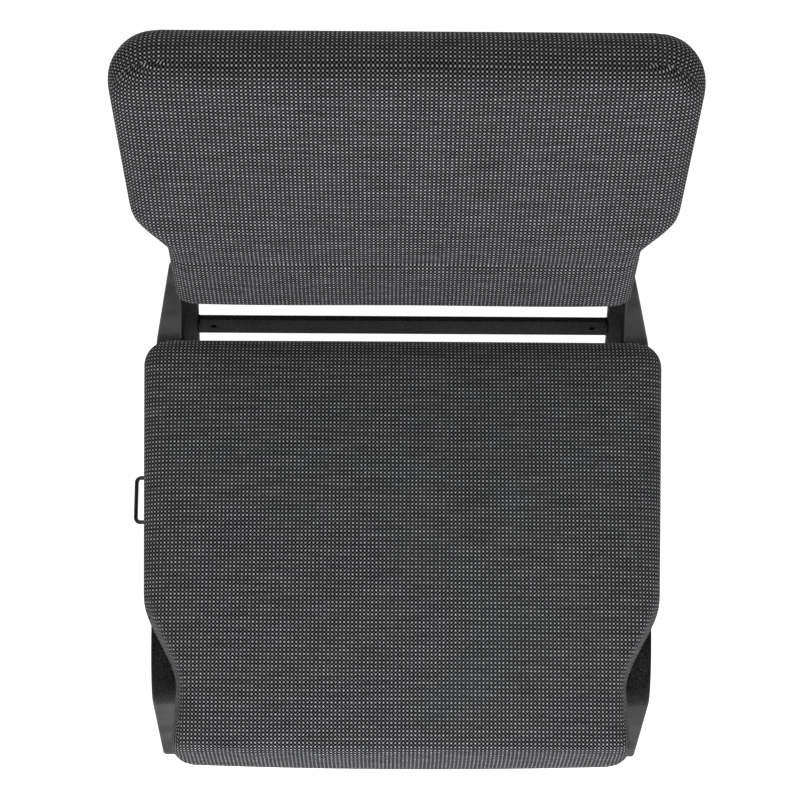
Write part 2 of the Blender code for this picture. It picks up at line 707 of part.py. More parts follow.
def seat():
    """Board, foam, stapled cover and lining of the seat."""
    holes = []
    for y in CROSS_YS.values():
        for side in (-1, 1):
            holes.append(((side * SEAT_SCREW_X, y), SCREW_SHANK / 2 + RUN_CLEAR))
    board_outline = [(point[0], point[1]) for point in seat_ring(0.0, SEAT_BOARD_INSET, 0.0)]
    middle = Matrix.Translation((0.0, 0.0, SEAT_BOARD_BOTTOM + SEAT_BOARD / 2))
    flat_plate("seat_board", board_outline, SEAT_BOARD, middle, PLYWOOD, holes)
    lining_outline = [(p[0], p[1]) for p in seat_ring(0.0, HEM_WIDTH + DUST_MARGIN, 0.0)]
    middle = Matrix.Translation((0.0, 0.0, SEAT_BOARD_BOTTOM - GAP - DUST_CLOTH / 2))
    flat_plate("seat_dust_cover", lining_outline, DUST_CLOTH, middle, LINING, holes)
    face = seat_face(0.0)
    waist = SEAT_FOAM_BOTTOM + SEAT_SIDE_HEIGHT * SEAT_WAIST_AT
    x, y = seat_grid(0.0, SEAT_BOARD_INSET)[:2]
    foot = np.stack([x, y, np.full_like(x, SEAT_FOAM_BOTTOM)], -1)
    draw_in = seat_ring(0.0, SEAT_BOARD_INSET, waist)
    bm = padded(face, [draw_in], foot)
    put("seat_foam", mesh_of("seat_foam", bm), FOAM)
    grow = COVER_CLOTH + SKIN_CLEAR
    rings = [
        seat_ring(grow, SEAT_DRAW_IN, SEAT_BOARD_BOTTOM + SEAT_BOARD / 2),
        seat_ring(grow, 0.0, HEM_BOTTOM),
        seat_ring(grow, HEM_WIDTH, HEM_BOTTOM),
    ]
    bm = padded(seat_face(grow), rings)
    solidify(put("seat_cover", mesh_of("seat_cover", bm), FABRIC), COVER_CLOTH)


def back_grid(top, grow=0.0):
    """Widths, stations and edge rounding of a piece of the back that reaches up to top."""
    ys = edge_stations(
        -grow,
        top + grow,
        BACK_EDGE_ROUND,
        BACK_EDGE_ROUND,
        BACK_STATIONS,
    )
    half = back_half_width(ys, grow)
    edge = BACK_EDGE_ROUND / (BACK_NARROW_WIDTH / 2)
    us = edge_stations(-1.0, 1.0, edge, edge, BACK_ACROSS)
    x = us[None, :] * half[:, None]
    s = np.repeat(ys[:, None], len(us), 1)
    distance = (1.0 - np.abs(us))[None, :] * half[:, None]
    rise = round_over(distance, BACK_EDGE_ROUND) * round_over(s + grow, BACK_EDGE_ROUND)
    rise = rise * round_over(top + grow - s, BACK_EDGE_ROUND)
    return x, s, rise


def back_pad():
    """Front board, front foam and rear board: the stack that the sleeve is pulled over."""
    board_front = -SKIN_CLEAR - BACK_BOARD
    x, s, rise = back_grid(BACK_BOARD_HEIGHT)
    bow = back_bow(x)
    front = back_point(x, s, bow + board_front)
    rear = back_point(x, s, bow - SKIN_CLEAR)
    board = put("back_board", mesh_of("back_board", padded(front, [], rear)), PLYWOOD)
    foam_rear = board_front - GAP
    front = back_point(x, s, bow + foam_rear - foam_thickness(x, s, rise))
    rear = back_point(x, s, bow + foam_rear)
    put("back_foam", mesh_of("back_foam", padded(front, [], rear)), FOAM)
    rear_front = UPRIGHT + SKIN_CLEAR
    front = back_point(x, s, np.full_like(x, rear_front))
    rear = back_point(x, s, rear_front + BACK_REAR_BOARD - REAR_ROUND * (1.0 - rise))
    rear_board = put("back_rear_board", mesh_of("back_rear_board", padded(front, [], rear)), PLYWOOD)
    return board, rear_board


def foam_thickness(x, s, rise):
    """Foam over the front board: a crowned face, rounded edges and one sewn pull-in across the waist."""
    crease = CREASE_DEPTH * np.exp(-(((s - CREASE_AT) / CREASE_WIDTH) ** 2))
    swell = BACK_CROWN * (1.0 - (x / (BACK_WING_WIDTH / 2)) ** 2)
    return BACK_SIDE_HEIGHT + (BACK_FOAM - BACK_SIDE_HEIGHT + swell - crease) * rise


def top_roll():
    """Half-round foam strip along the top of the boards, which the sleeve is stretched over."""
    front = -SKIN_CLEAR - BACK_BOARD - BACK_FOAM * TOP_ROLL_FRONT
    rear = UPRIGHT + SKIN_CLEAR + BACK_REAR_BOARD
    half_depth = (rear - front) / 2
    rings = []
    reach = float(back_half_width(BACK_BOARD_HEIGHT)) - TOP_ROLL_INSET
    for x in reach * np.sin(np.linspace(-math.pi / 2, math.pi / 2, ROLL_LENGTHS)):
        height = TOP_ROLL - float(corner_loss(BACK_TOP_WIDTH / 2 - abs(x), BACK_TOP_CORNER)) + GAP
        angles = np.linspace(0.0, math.pi, ROLL_SIDES)
        n = (front + rear) / 2 - half_depth * np.cos(angles)
        s = BACK_BOARD_HEIGHT + GAP + (height - 2 * GAP) * np.sin(angles)
        rings.append(back_point(np.full_like(n, x), s, n))
    lofted("back_top_roll", rings, FOAM, Matrix.Identity(4))


def spacer():
    """Wooden block that holds the boards apart above the uprights, hollowed to the front board's bow."""
    top = BACK_BOARD_HEIGHT - SPACER_BELOW_TOP
    s = np.array([top, top, top - SPACER_HEIGHT, top - SPACER_HEIGHT])
    rings = []
    for x in np.linspace(-SPACER_LENGTH / 2, SPACER_LENGTH / 2, SPACER_LENGTHS):
        front = float(back_bow(x)) + GAP
        n = np.array([front, UPRIGHT - GAP, UPRIGHT - GAP, front])
        rings.append(back_point(np.full(4, x), s, n))
    lofted("back_spacer", rings, PLYWOOD, Matrix.Identity(4))


def sleeve():
    """Fabric sleeve over the whole back: front, sides, top roll and rear, open at the foot."""
    grow = COVER_CLOTH + SKIN_CLEAR
    x, s, rise = back_grid(BACK_BOARD_HEIGHT + TOP_ROLL, grow)
    base = -SKIN_CLEAR - BACK_BOARD - GAP
    front = back_point(x, s, back_bow(x) + base - foam_thickness(x, s, rise) - grow)
    back_n = UPRIGHT + SKIN_CLEAR + BACK_REAR_BOARD + grow
    rear = back_point(x, s, back_n - REAR_ROUND * (1.0 - rise))
    bm = padded(front, [], rear, open_first_row=True)
    cover = put("back_cover", mesh_of("back_cover", bm), FABRIC)
    solidify(cover, COVER_CLOTH)
    return cover


def uprights(board, rear_board, cover):
    """Bent back tubes welded inside the side frames, with end plugs and the screws into the back board."""
    inward = TUBE_ACROSS / 2 + GAP + UPRIGHT / 2
    low = (UPRIGHT_FOOT_Z - BACK_Z) / math.cos(BACK_LOW_RECLINE)
    turn_end = BACK_TURN_START + BACK_TURN * BACK_TURN_RADIUS
    turn_stations = np.linspace(BACK_TURN_START, turn_end, SMALL_ARC_STEPS)
    stations = np.concatenate([[low], turn_stations, [UPRIGHT_TOP]])
    middle = back_point(0.0, stations, UPRIGHT / 2)
    path = [side_local(point[1], point[2], inward) for point in middle]
    section = rounded_rectangle(UPRIGHT, UPRIGHT, UPRIGHT_CORNER)
    slit_section = rounded_rectangle(UPRIGHT + 2 * SKIN_CLEAR, UPRIGHT + 2 * SKIN_CLEAR, UPRIGHT_CORNER)
    slit_path = [path[0], path[0].lerp(path[1], (COVER_SLIT - low) / (BACK_TURN_START - low))]
    for side, label in ((-1, "left"), (1, "right")):
        frame = side_matrix(side, inward)
        tube = swept(f"{label}_upright", path, section, STEEL, frame, TUBE_WALL)
        slit = swept(f"{label}_slit", slit_path, slit_section, None, frame)
        CHAIR.objects.unlink(slit)
        CUTTERS.objects.link(slit)
        cut(cover, as_cutter(slit))
        along = (path[-1] - path[-2]).normalized()
        end_plug(f"{label}_upright_plug", frame, path[-1], along)
        for count, s in enumerate(BACK_SCREW_AT):
            recline = float(back_place(s)[2])
            level = back_point(0.0, s, UPRIGHT / 2)
            x = side * inner_face_x(level[1], level[2], inward)
            forward = Vector((0.0, -math.cos(recline), math.sin(recline)))
            head = Vector(back_point(x, s, UPRIGHT + GAP))
            length = UPRIGHT + 2 * GAP + SKIN_CLEAR + SCREW_BITE
            name = f"{label}_back_screw_{count + 1}"
            place = Matrix.Translation(head) @ forward.to_track_quat("Z", "Y").to_matrix().to_4x4()
            hole = cylinder_cutter(
                name + "_hole",
                SCREW_SHANK / 2 + RUN_CLEAR,
                head - forward * UPRIGHT,
                head + forward * (length + GAP),
            )
            cut(tube, hole)
            cut(board, hole)
            access = cylinder_cutter(
                name + "_access", SCREW_HEAD / 2 + RUN_CLEAR, head, head - forward * UPRIGHT
            )
            cut(rear_board, access)
            screw(name, place, length)


def end_plug(name, frame, end, along):
    """A flat cap with a stem that closes the top of an upright."""
    bore = 2 * (TUBE_WALL + RUN_CLEAR)
    across = Vector((-along.y, along.x))
    stem = rounded_rectangle(UPRIGHT - bore, UPRIGHT - bore, UPRIGHT_CORNER - TUBE_WALL)
    cap = rounded_rectangle(UPRIGHT, UPRIGHT, UPRIGHT_CORNER)
    rings = []
    for ring, height in ((stem, -PLUG_STEM), (stem, GAP), (cap, GAP), (cap, PLUG_CAP)):
        spots = [end + along * height + across * point[0] for point in ring]
        rings.append([(spot.x, spot.y, point[1]) for spot, point in zip(spots, ring)])
    lofted(name, rings, PLASTIC, frame)


def crossbar():
    """Flat bar welded between the uprights behind the seat, its ends cut to their lean, a hole near each."""
    inward = TUBE_ACROSS / 2 + GAP + UPRIGHT
    s = (CROSSBAR_Z - BACK_Z) / math.cos(BACK_LOW_RECLINE)
    half = CROSSBAR_HEIGHT / 2
    faces = (CROSSBAR_SET_BACK, CROSSBAR_SET_BACK + CROSSBAR_THICK)
    ends = [[back_point(0.0, s + ds, n) for n in faces] for ds in (-half, half)]
    low, high = [min(inner_face_x(point[1], point[2], inward) for point in end) - GAP for end in ends]
    reach = (low + high) / 2
    slant = (high - low) / CROSSBAR_HEIGHT / reach
    centre = Vector(back_point(0.0, s, CROSSBAR_SET_BACK + CROSSBAR_THICK / 2))
    place = Matrix.Translation(centre) @ Matrix.Rotation(math.pi / 2 - BACK_LOW_RECLINE, 4, "X")
    outline = rounded_rectangle(2 * reach, CROSSBAR_HEIGHT, CROSSBAR_CORNER)
    outline = [(x * (1.0 + slant * y), y) for x, y in outline]
    holes = [((side * (reach - CROSSBAR_HOLE_INSET), 0.0), CROSSBAR_HOLE / 2) for side in (-1, 1)]
    flat_plate("rear_crossbar", outline, CROSSBAR_THICK, place, STEEL, holes)


def ganging():
    """Loop that slides out of two sleeves under the left rail, and the hook for a neighbour's loop."""
    z = RAIL_BOTTOM - GAP - SLEEVE_OUTER / 2
    middle = LOOP_LENGTH / 2 - LOOP_ROD / 2
    outer = -LOOP_REACH + LOOP_ROD / 2
    stop_x = -SLEEVE_OUT_X + SLEEVE_LENGTH + LOOP_TRAVEL + STOP_CLEAR
    inner = stop_x + STOP_THICK
    corners = [(inner, -middle), (outer, -middle), (outer, middle), (inner, middle)]
    place = Matrix.Translation((0.0, LOOP_Y, z))
    path = bent_path(corners, (LOOP_BEND, LOOP_BEND), SMALL_ARC_STEPS)
    rod("ganging_loop", path, LOOP_ROD / 2, ZINC_BLACK, place)
    bore = LOOP_ROD / 2 + RUN_CLEAR
    along_x = Matrix.Rotation(math.pi / 2, 4, "Y")
    for side, label in ((-1, "front"), (1, "rear")):
        spot = Vector((-SLEEVE_OUT_X, LOOP_Y + side * middle, z))
        ring(f"{label}_loop_sleeve", spot, along_x, bore, SLEEVE_OUTER / 2, SLEEVE_LENGTH, STEEL)
        spot.x = stop_x
        ring(f"{label}_loop_stop", spot, along_x, bore - RUN_CLEAR + GAP, STOP_OUTER / 2, STOP_THICK, ZINC)
    tip = HOOK_TIP - HOOK_DROP
    corners = [(0.0, 0.0), (0.0, -HOOK_DROP), (HOOK_REACH, -HOOK_DROP), (HOOK_REACH, tip)]
    path = bent_path(corners, (HOOK_BEND, HOOK_BEND), SMALL_ARC_STEPS)
    section = rounded_rectangle(HOOK_THICK, HOOK_WIDTH, HOOK_THICK / 4)
    upright = Matrix.Rotation(math.pi / 2, 4, "X")
    place = Matrix.Translation((HOOK_X, LOOP_Y, RAIL_BOTTOM - GAP)) @ upright
    swept("ganging_hook", path, section, STEEL, place)


def ring(name, spot, turn, bore, outer, length, material):
    """A plain turned ring along its own Z axis."""
    profile = [(bore, length), (outer, length), (outer, 0.0), (bore, 0.0), (bore, length)]
    turned(name, profile, material, Matrix.Translation(spot) @ turn)


def main():
    side_frames()
    cross_rails()
    seat()
    board, rear_board = back_pad()
    top_roll()
    spacer()
    cover = sleeve()
    uprights(board, rear_board, cover)
    crossbar()
    ganging()


main()
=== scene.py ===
# %% [markdown]
# # A stacking church chair
#
# This lesson dresses the solids of a church chair: two bent steel side frames, a notched seat pad,
# a winged back pad and a ganging loop that pulls out to the left. The steel, plastic and screws
# keep their solid shapes and get their finishes here; the bent and moulded ones are copied with merged
# points, so that they can be shaded smoothly. The two pads are soft, so they are made again as padded
# cloth with a weave that follows their surface, and the lining under the seat is made again as a sheet.

# %% Load the solids
import math

import bmesh
import bpy
import numpy as np
from mathutils import Matrix, Vector


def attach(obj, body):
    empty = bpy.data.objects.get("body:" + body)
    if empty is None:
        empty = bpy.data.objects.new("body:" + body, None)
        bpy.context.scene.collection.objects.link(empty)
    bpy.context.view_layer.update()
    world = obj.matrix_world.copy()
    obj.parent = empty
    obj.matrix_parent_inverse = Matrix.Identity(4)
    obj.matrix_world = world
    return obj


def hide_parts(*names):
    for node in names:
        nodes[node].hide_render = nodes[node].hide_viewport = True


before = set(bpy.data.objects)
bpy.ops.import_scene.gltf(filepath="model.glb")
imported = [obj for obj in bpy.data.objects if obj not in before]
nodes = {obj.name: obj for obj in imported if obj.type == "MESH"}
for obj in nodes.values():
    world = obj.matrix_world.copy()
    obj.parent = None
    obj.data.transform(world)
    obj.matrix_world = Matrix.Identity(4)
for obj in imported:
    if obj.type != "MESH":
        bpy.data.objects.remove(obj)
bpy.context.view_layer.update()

# %% [markdown]
# ## Camera
#
# The chair was photographed from above and a little in front with a long lens. A 90 mm lens on a
# 36 mm wide frame, 2.5 m up and looking down at almost 80 degrees, puts the seat, the crossbar and the
# top of the back where the photograph has them. The axes of the view are worked out first and then
# written into the camera's matrix, which is safer than guessing three turning angles.

# %% Place the camera
LENS_MM = 90.0
CAMERA_AT = Vector((-0.0140, -0.3291, 2.540))
CAMERA_DOWN = math.radians(79.6)
CAMERA_PAN = math.radians(0.356)
CHAIR_YAW = math.radians(0.35)


def camera_matrix():
    """Turns about up, then down, then aside: the view's right, up and backward axes as columns."""
    ahead = Vector((0.0, math.cos(CAMERA_DOWN), -math.sin(CAMERA_DOWN)))
    up = Vector((0.0, math.sin(CAMERA_DOWN), math.cos(CAMERA_DOWN)))
    right = Vector((1.0, 0.0, 0.0))
    view = math.cos(CAMERA_PAN) * ahead + math.sin(CAMERA_PAN) * right
    side = math.cos(CAMERA_PAN) * right - math.sin(CAMERA_PAN) * ahead
    turn = Matrix.Rotation(CHAIR_YAW, 3, "Z")
    matrix = Matrix((turn @ side, turn @ up, turn @ -view)).transposed().to_4x4()
    matrix.translation = CAMERA_AT
    return matrix


lens = bpy.data.cameras.new("long_lens")
lens.sensor_width = 36.0
lens.lens = LENS_MM
camera = bpy.data.objects.new("camera", lens)
bpy.context.scene.collection.objects.link(camera)
camera.matrix_world = camera_matrix()
bpy.context.scene.camera = camera
print("camera at", tuple(round(v, 3) for v in camera.location))

# %% [markdown]
# ## Floor and light
#
# The photograph is a studio shot on white: big soft lights and hardly a shadow. A near softbox stands in
# front of the chair, so the seat's front is lighter than its rear and the top of the back falls off. Two weak
# ones fill from above and behind, and an even white sky lifts the shadows. The floor is a plain pale sheet.

# %% One function adds any shader node


def add(tree, kind, settings=None, links=None):
    """One node: settings go to its properties or inputs by name, links wire other sockets to its inputs."""
    node = tree.nodes.new(kind)
    for key, value in (settings or {}).items():
        if isinstance(key, str) and hasattr(node, key):
            setattr(node, key, value)
        else:
            node.inputs[key].default_value = value
    for key, source in (links or {}).items():
        tree.links.new(source, node.inputs[key])
    return node


def linear(colour):
    """sRGB hex to linear light: below 0.04045 a straight share of 12.92, above it the power 2.4."""
    share = np.array([int(colour[i : i + 2], 16) for i in (1, 3, 5)]) / 255.0
    low = share / 12.92
    high = ((share + 0.055) / 1.055) ** 2.4
    return (*np.where(share <= 0.04045, low, high).tolist(), 1.0)


def new_material(name):
    """An empty material with its output and one Principled shader joined up."""
    material = bpy.data.materials.new(name)
    material.use_nodes = True
    tree = material.node_tree
    tree.nodes.clear()
    shader = add(tree, "ShaderNodeBsdfPrincipled")
    add(tree, "ShaderNodeOutputMaterial", links={"Surface": shader.outputs["BSDF"]})
    return material, tree, shader


# %% Floor, softboxes and sky
FLOOR_HALF = 12.0
FLOOR_DROP = 0.0005
FLOOR_GLOW = 0.7
SKY_STRENGTH = 0.34


def soft_box(name, spot, target, size, watts):
    """A square area light that faces a point."""
    data = bpy.data.lights.new(name, "AREA")
    data.size = size
    data.energy = watts
    lamp = bpy.data.objects.new(name, data)
    bpy.context.scene.collection.objects.link(lamp)
    lamp.location = spot
    lamp.visible_camera = False
    lamp.rotation_euler = (Vector(target) - Vector(spot)).to_track_quat("-Z", "Y").to_euler()
    return lamp


edge = np.array([-FLOOR_HALF, FLOOR_HALF])
floor_x, floor_y = np.meshgrid(edge, edge)
floor_points = np.stack([floor_x, floor_y, np.full_like(floor_x, -FLOOR_DROP)], -1).reshape(-1, 3)
floor_mesh = bpy.data.meshes.new("floor")
floor_mesh.from_pydata(floor_points.tolist(), [], [(0, 1, 3, 2)])
floor = bpy.data.objects.new("floor", floor_mesh)
bpy.context.scene.collection.objects.link(floor)
# Painted studio floor: rolled matt white paint, with the faint mottling that the roller leaves
paint, tree, shader = new_material("matt white floor paint")
place = add(tree, "ShaderNodeTexCoord")
mottle = add(tree, "ShaderNodeTexNoise", {"Scale": 3.0, "Detail": 3.0}, {"Vector": place.outputs["Object"]})
tone = add(tree, "ShaderNodeValToRGB", links={"Fac": mottle.outputs["Fac"]})
tone.color_ramp.elements[0].color = linear("#f1f1f1")
tone.color_ramp.elements[1].color = linear("#f5f5f5")
tree.links.new(tone.outputs["Color"], shader.inputs["Base Color"])
shader.inputs["Roughness"].default_value = 0.9
shader.inputs["Specular IOR Level"].default_value = 0.2
# A lit floor, as on a catalogue sweep: it keeps the ground white where the chair shades it
shader.inputs["Emission Color"].default_value = linear("#ffffff")
shader.inputs["Emission Strength"].default_value = FLOOR_GLOW
floor_mesh.materials.append(paint)

soft_box("front_softbox", (0.1, -1.30, 1.40), (0.0, -0.05, 0.45), 0.9, 20.0)
soft_box("top_softbox", (-0.4, -0.65, 3.0), (0.0, 0.0, 0.4), 1.6, 10.0)
soft_box("rear_softbox", (-0.5, 2.6, 2.2), (0.0, 0.5, 0.0), 2.2, 12.0)
sky = bpy.data.worlds.new("studio")
sky.use_nodes = True
sky.node_tree.nodes["Background"].inputs["Color"].default_value = (1.0, 1.0, 1.0, 1.0)
sky.node_tree.nodes["Background"].inputs["Strength"].default_value = SKY_STRENGTH
bpy.context.scene.world = sky
bpy.context.scene.view_settings.view_transform = "Standard"

# %% [markdown]
# ## Padded surfaces
#
# A pad is a face, a band round its edge and a back: the face is a grid over the pad's outline, the band
# is a stack of rings that start at the grid's edge, and the back is a second grid of the same count. All
# points are worked out as whole arrays. The weave has to lie on the cloth like real yarn, so every point
# also gets a place on the flat cloth, in metres: the distance walked over the surface from the middle.

# %% Grid and ring helpers
NUB_PITCH = 0.0041


def round_over(distance, radius):
    """Quarter ellipse: 0 at the edge, 1 from the radius inwards; the root of 1 less the share squared."""
    inside = np.clip(1.0 - np.maximum(distance, 0.0) / radius, 0.0, 1.0)
    return np.sqrt(1.0 - inside * inside)


def corner_loss(distance, radius):
    """How far a round corner draws an outline in, at a distance from its end: radius less its sine."""
    return radius * (1.0 - round_over(distance, radius))


def smooth_step(start, end, value):
    """S-curve between two values: three times the share squared less twice its cube."""
    share = np.clip((value - start) / (end - start), 0.0, 1.0)
    return share * share * (3.0 - 2.0 * share)


def graded(start, end, head, tail, count):
    """Stations from start to end, three times as close together in the first and last stretches."""
    fine = np.linspace(start, end, 4001)
    close = np.clip(1.5 - (fine - start) / head, 0.0, 1.0) + np.clip(1.5 - (end - fine) / tail, 0.0, 1.0)
    walk = np.concatenate([[0.0], np.cumsum(1.0 + 2.0 * np.clip(close, 0.0, 1.0))[:-1]])
    return np.interp(np.linspace(0.0, walk[-1], count), walk, fine)


def edge_order(rows, columns):
    """Index of each point on a grid's edge, in order round it."""
    index = np.arange(rows * columns).reshape(rows, columns)
    return np.concatenate([index[0, :-1], index[:-1, -1], index[-1, :0:-1], index[:0:-1, 0]])


def walked(points, axis, middle, across):
    """Distance over a surface along one way of its grid, from its middle, less the drift across that way."""
    step = np.linalg.norm(np.delete(np.diff(points, axis=axis), across, -1), axis=-1)
    total = np.concatenate([np.zeros_like(np.take(step, [0], axis)), np.cumsum(step, axis)], axis)
    return total - np.take(total, [middle], axis)


def edge_normals(plan):
    """Outward unit normals of a closed outline in the plane, from the points before and after each one."""
    along = np.roll(plan, -1, 0) - np.roll(plan, 1, 0)
    along = along / np.linalg.norm(along, axis=1, keepdims=True)
    return np.stack([along[:, 1], -along[:, 0]], -1)


def outward_object(mesh):
    """An object for a closed mesh, with its faces turned outwards and shaded smooth."""
    mesh.shade_smooth()
    shell = bmesh.new()
    shell.from_mesh(mesh)
    bmesh.ops.recalc_face_normals(shell, faces=shell.faces[:])
    shell.to_mesh(mesh)
    shell.free()
    item = bpy.data.objects.new(mesh.name, mesh)
    bpy.context.scene.collection.objects.link(item)
    return item


def pad_object(name, face, rings, back, cloth_face, cloth_back):
    """A closed pad from a face grid, rings and a back grid, with its cloth coordinates as a UV map."""
    rows, columns = face.shape[:2]
    order = edge_order(rows, columns)
    points = np.concatenate([face.reshape(-1, 3), *rings, back.reshape(-1, 3)])
    count = rows * columns
    index = np.arange(count).reshape(rows, columns)
    quads = np.stack([index[:-1, :-1], index[:-1, 1:], index[1:, 1:], index[1:, :-1]], -1).reshape(-1, 4)
    starts = [order] + [count + len(order) * k + np.arange(len(order)) for k in range(len(rings))]
    first_back = count + len(order) * len(rings)
    starts.append(first_back + order)
    steps = list(zip(starts, starts[1:]))
    strips = [np.stack([low, np.roll(low, -1), np.roll(high, -1), high], -1) for low, high in steps]
    faces = np.concatenate([quads, *strips, first_back + quads[:, ::-1]])
    # Cloth places: the face's own, then round the edge and down the band, from the middle of the first row.
    # Half the way round is a whole number of nubs, so that the rows meet at the last row as well
    middle = columns // 2
    heights = cloth_face[..., 1] - (cloth_face[0, middle, 1] + cloth_face[-1, middle, 1]) / 2
    cloth_face = np.stack([cloth_face[..., 0], heights], -1)
    edge = points[order]
    around = np.concatenate([[0.0], np.cumsum(np.linalg.norm(np.roll(edge, -1, 0) - edge, axis=1))])
    around = around - around[middle]
    half_way = around[2 * columns + rows - 3 - middle]
    around = around * np.round(half_way / NUB_PITCH) * NUB_PITCH / half_way
    level = np.full(len(order), cloth_face[0, middle, 1])
    bands = []
    for low, high in steps:
        lower = level - np.linalg.norm(points[high] - points[low], axis=1)
        levels = np.stack([level, np.roll(level, -1), np.roll(lower, -1), lower], -1)
        ways = np.stack([around[:-1], around[1:], around[1:], around[:-1]], -1)
        bands.append(np.stack([ways, levels], -1))
        level = lower
    corners = np.concatenate(
        [cloth_face.reshape(-1, 2)[quads], *bands, cloth_back.reshape(-1, 2)[quads[:, ::-1]]]
    )
    mesh = bpy.data.meshes.new(name)
    mesh.from_pydata(points.tolist(), [], faces.tolist())
    layer = mesh.uv_layers.new(name="cloth")
    layer.uv.foreach_set("vector", corners.reshape(-1).astype(np.float32))
    item = outward_object(mesh)
    print(f"{name}: {len(points)} points, {len(faces)} faces")
    return item


# %% [markdown]
# ## Letting the cloth settle
#
# A cover takes its last shape from the foam that pushes it out. A short cloth simulation does that: the
# stapled and sewn points are held, a little air pressure stands for the foam, gravity is off, and after a
# few frames the result is kept in the mesh. No point may move more than a few millimetres, so the pad
# keeps its size.

# %% Cloth with a little air
SETTLE_FRAMES = 14
SETTLE_CAP = 0.0025
PRESSURE = 0.21
CLOTH = {
    "quality": 5,
    "mass": 0.3,
    "tension_stiffness": 40.0,
    "compression_stiffness": 40.0,
    "shear_stiffness": 20.0,
    "bending_stiffness": 2.0,
    "vertex_group_mass": "held",
    "use_pressure": True,
    "uniform_pressure_force": PRESSURE,
}


def settle(pad, held):
    """Runs the cloth and keeps each point's move, shortened to the cap where it is longer."""
    scene = bpy.context.scene
    pad.vertex_groups.new(name="held").add(held.tolist(), 1.0, "ADD")
    modifier = pad.modifiers.new("settle", "CLOTH")
    for key, value in CLOTH.items():
        setattr(modifier.settings, key, value)
    modifier.settings.effector_weights.gravity = 0.0
    modifier.collision_settings.use_collision = False
    modifier.point_cache.frame_end = SETTLE_FRAMES
    for count in range(1, SETTLE_FRAMES + 1):
        scene.frame_set(count)
    settled = pad.evaluated_get(bpy.context.evaluated_depsgraph_get()).data
    before = np.empty(3 * len(pad.data.vertices), np.float32)
    after = np.empty_like(before)
    pad.data.vertices.foreach_get("co", before)
    settled.vertices.foreach_get("co", after)
    move = (after - before).reshape(-1, 3)
    length = np.linalg.norm(move, axis=1, keepdims=True)
    move = move * np.minimum(1.0, SETTLE_CAP / np.maximum(length, 1e-9))
    pad.modifiers.remove(modifier)
    pad.vertex_groups.clear()
    pad.data.vertices.foreach_set("co", before + move.reshape(-1))
    pad.data.update()
    scene.frame_set(1)
    cut_short = np.mean(length > SETTLE_CAP)
    print(f"{pad.name} settled, moves up to {1000 * length.max():.1f} mm, {cut_short:.1%} cut short")


# %% [markdown]
# ## Seat pad
#
# The seat is foam on a plywood board with the cover pulled down and stapled underneath. Seen from above
# it tapers a little to the front, steps in where the legs of a stacked chair pass, and ends in a long
# waterfall front. Its height over the board is a product of quarter-ellipse edges with a low crown
# on top, which is what tight fabric over cut foam looks like.

# %% Seat pad surface
SEAT_FRONT_Y = -0.3260
SEAT_REAR_Y = 0.1185
SEAT_FRONT_BOW = 0.0035
SEAT_WIDTHS = (0.4720, 0.5380, 0.5520)
NOTCH_Y = (-0.2510, -0.1590)
SEAT_CORNERS = (0.020, 0.028)
SEAT_TOP = 0.4685
SEAT_SHOULDER = 0.4361
SEAT_CROWN = 0.009
SEAT_EDGE_ROUND = 0.030
SEAT_FRONT_SHAPE = (0.014, 0.84, 0.008)
SEAT_NOTCH_SHAPE = (0.009, 0.82, 0.007)
SEAT_DROP = 0.040
SLOPE_STARTS = (-0.310, -0.235)
SLOPE_ENDS = (-0.200, -0.150)
SEAT_FINE = (0.045, 0.035)
SIDE_FINE = (0.12, 0.12)
HEM_Z = 0.3883
HEM_WIDTH = 0.016
COVER = 0.0019


def seat_half(y):
    """Half the seat's width: front width, an S-curve out to the full width, a taper on to the rear."""
    front, full, rear = SEAT_WIDTHS
    taper = np.clip((y - NOTCH_Y[1]) / (SEAT_REAR_Y - NOTCH_Y[1]), 0.0, 1.0)
    half = (front + (full + (rear - full) * taper - front) * smooth_step(*NOTCH_Y, y)) / 2 + COVER
    half = half - corner_loss(y - SEAT_FRONT_Y + COVER, SEAT_CORNERS[0])
    return half - corner_loss(SEAT_REAR_Y + COVER - y, SEAT_CORNERS[1])


def sloped_edge(distance, face, share, roll):
    """Share of the height behind an edge: a straight steep face, then a sine roll on to the top."""
    straight = share * np.clip(distance / face, 0.0, 1.0)
    return straight + (1.0 - share) * np.sin(math.pi / 2 * np.clip((distance - face) / roll, 0.0, 1.0))


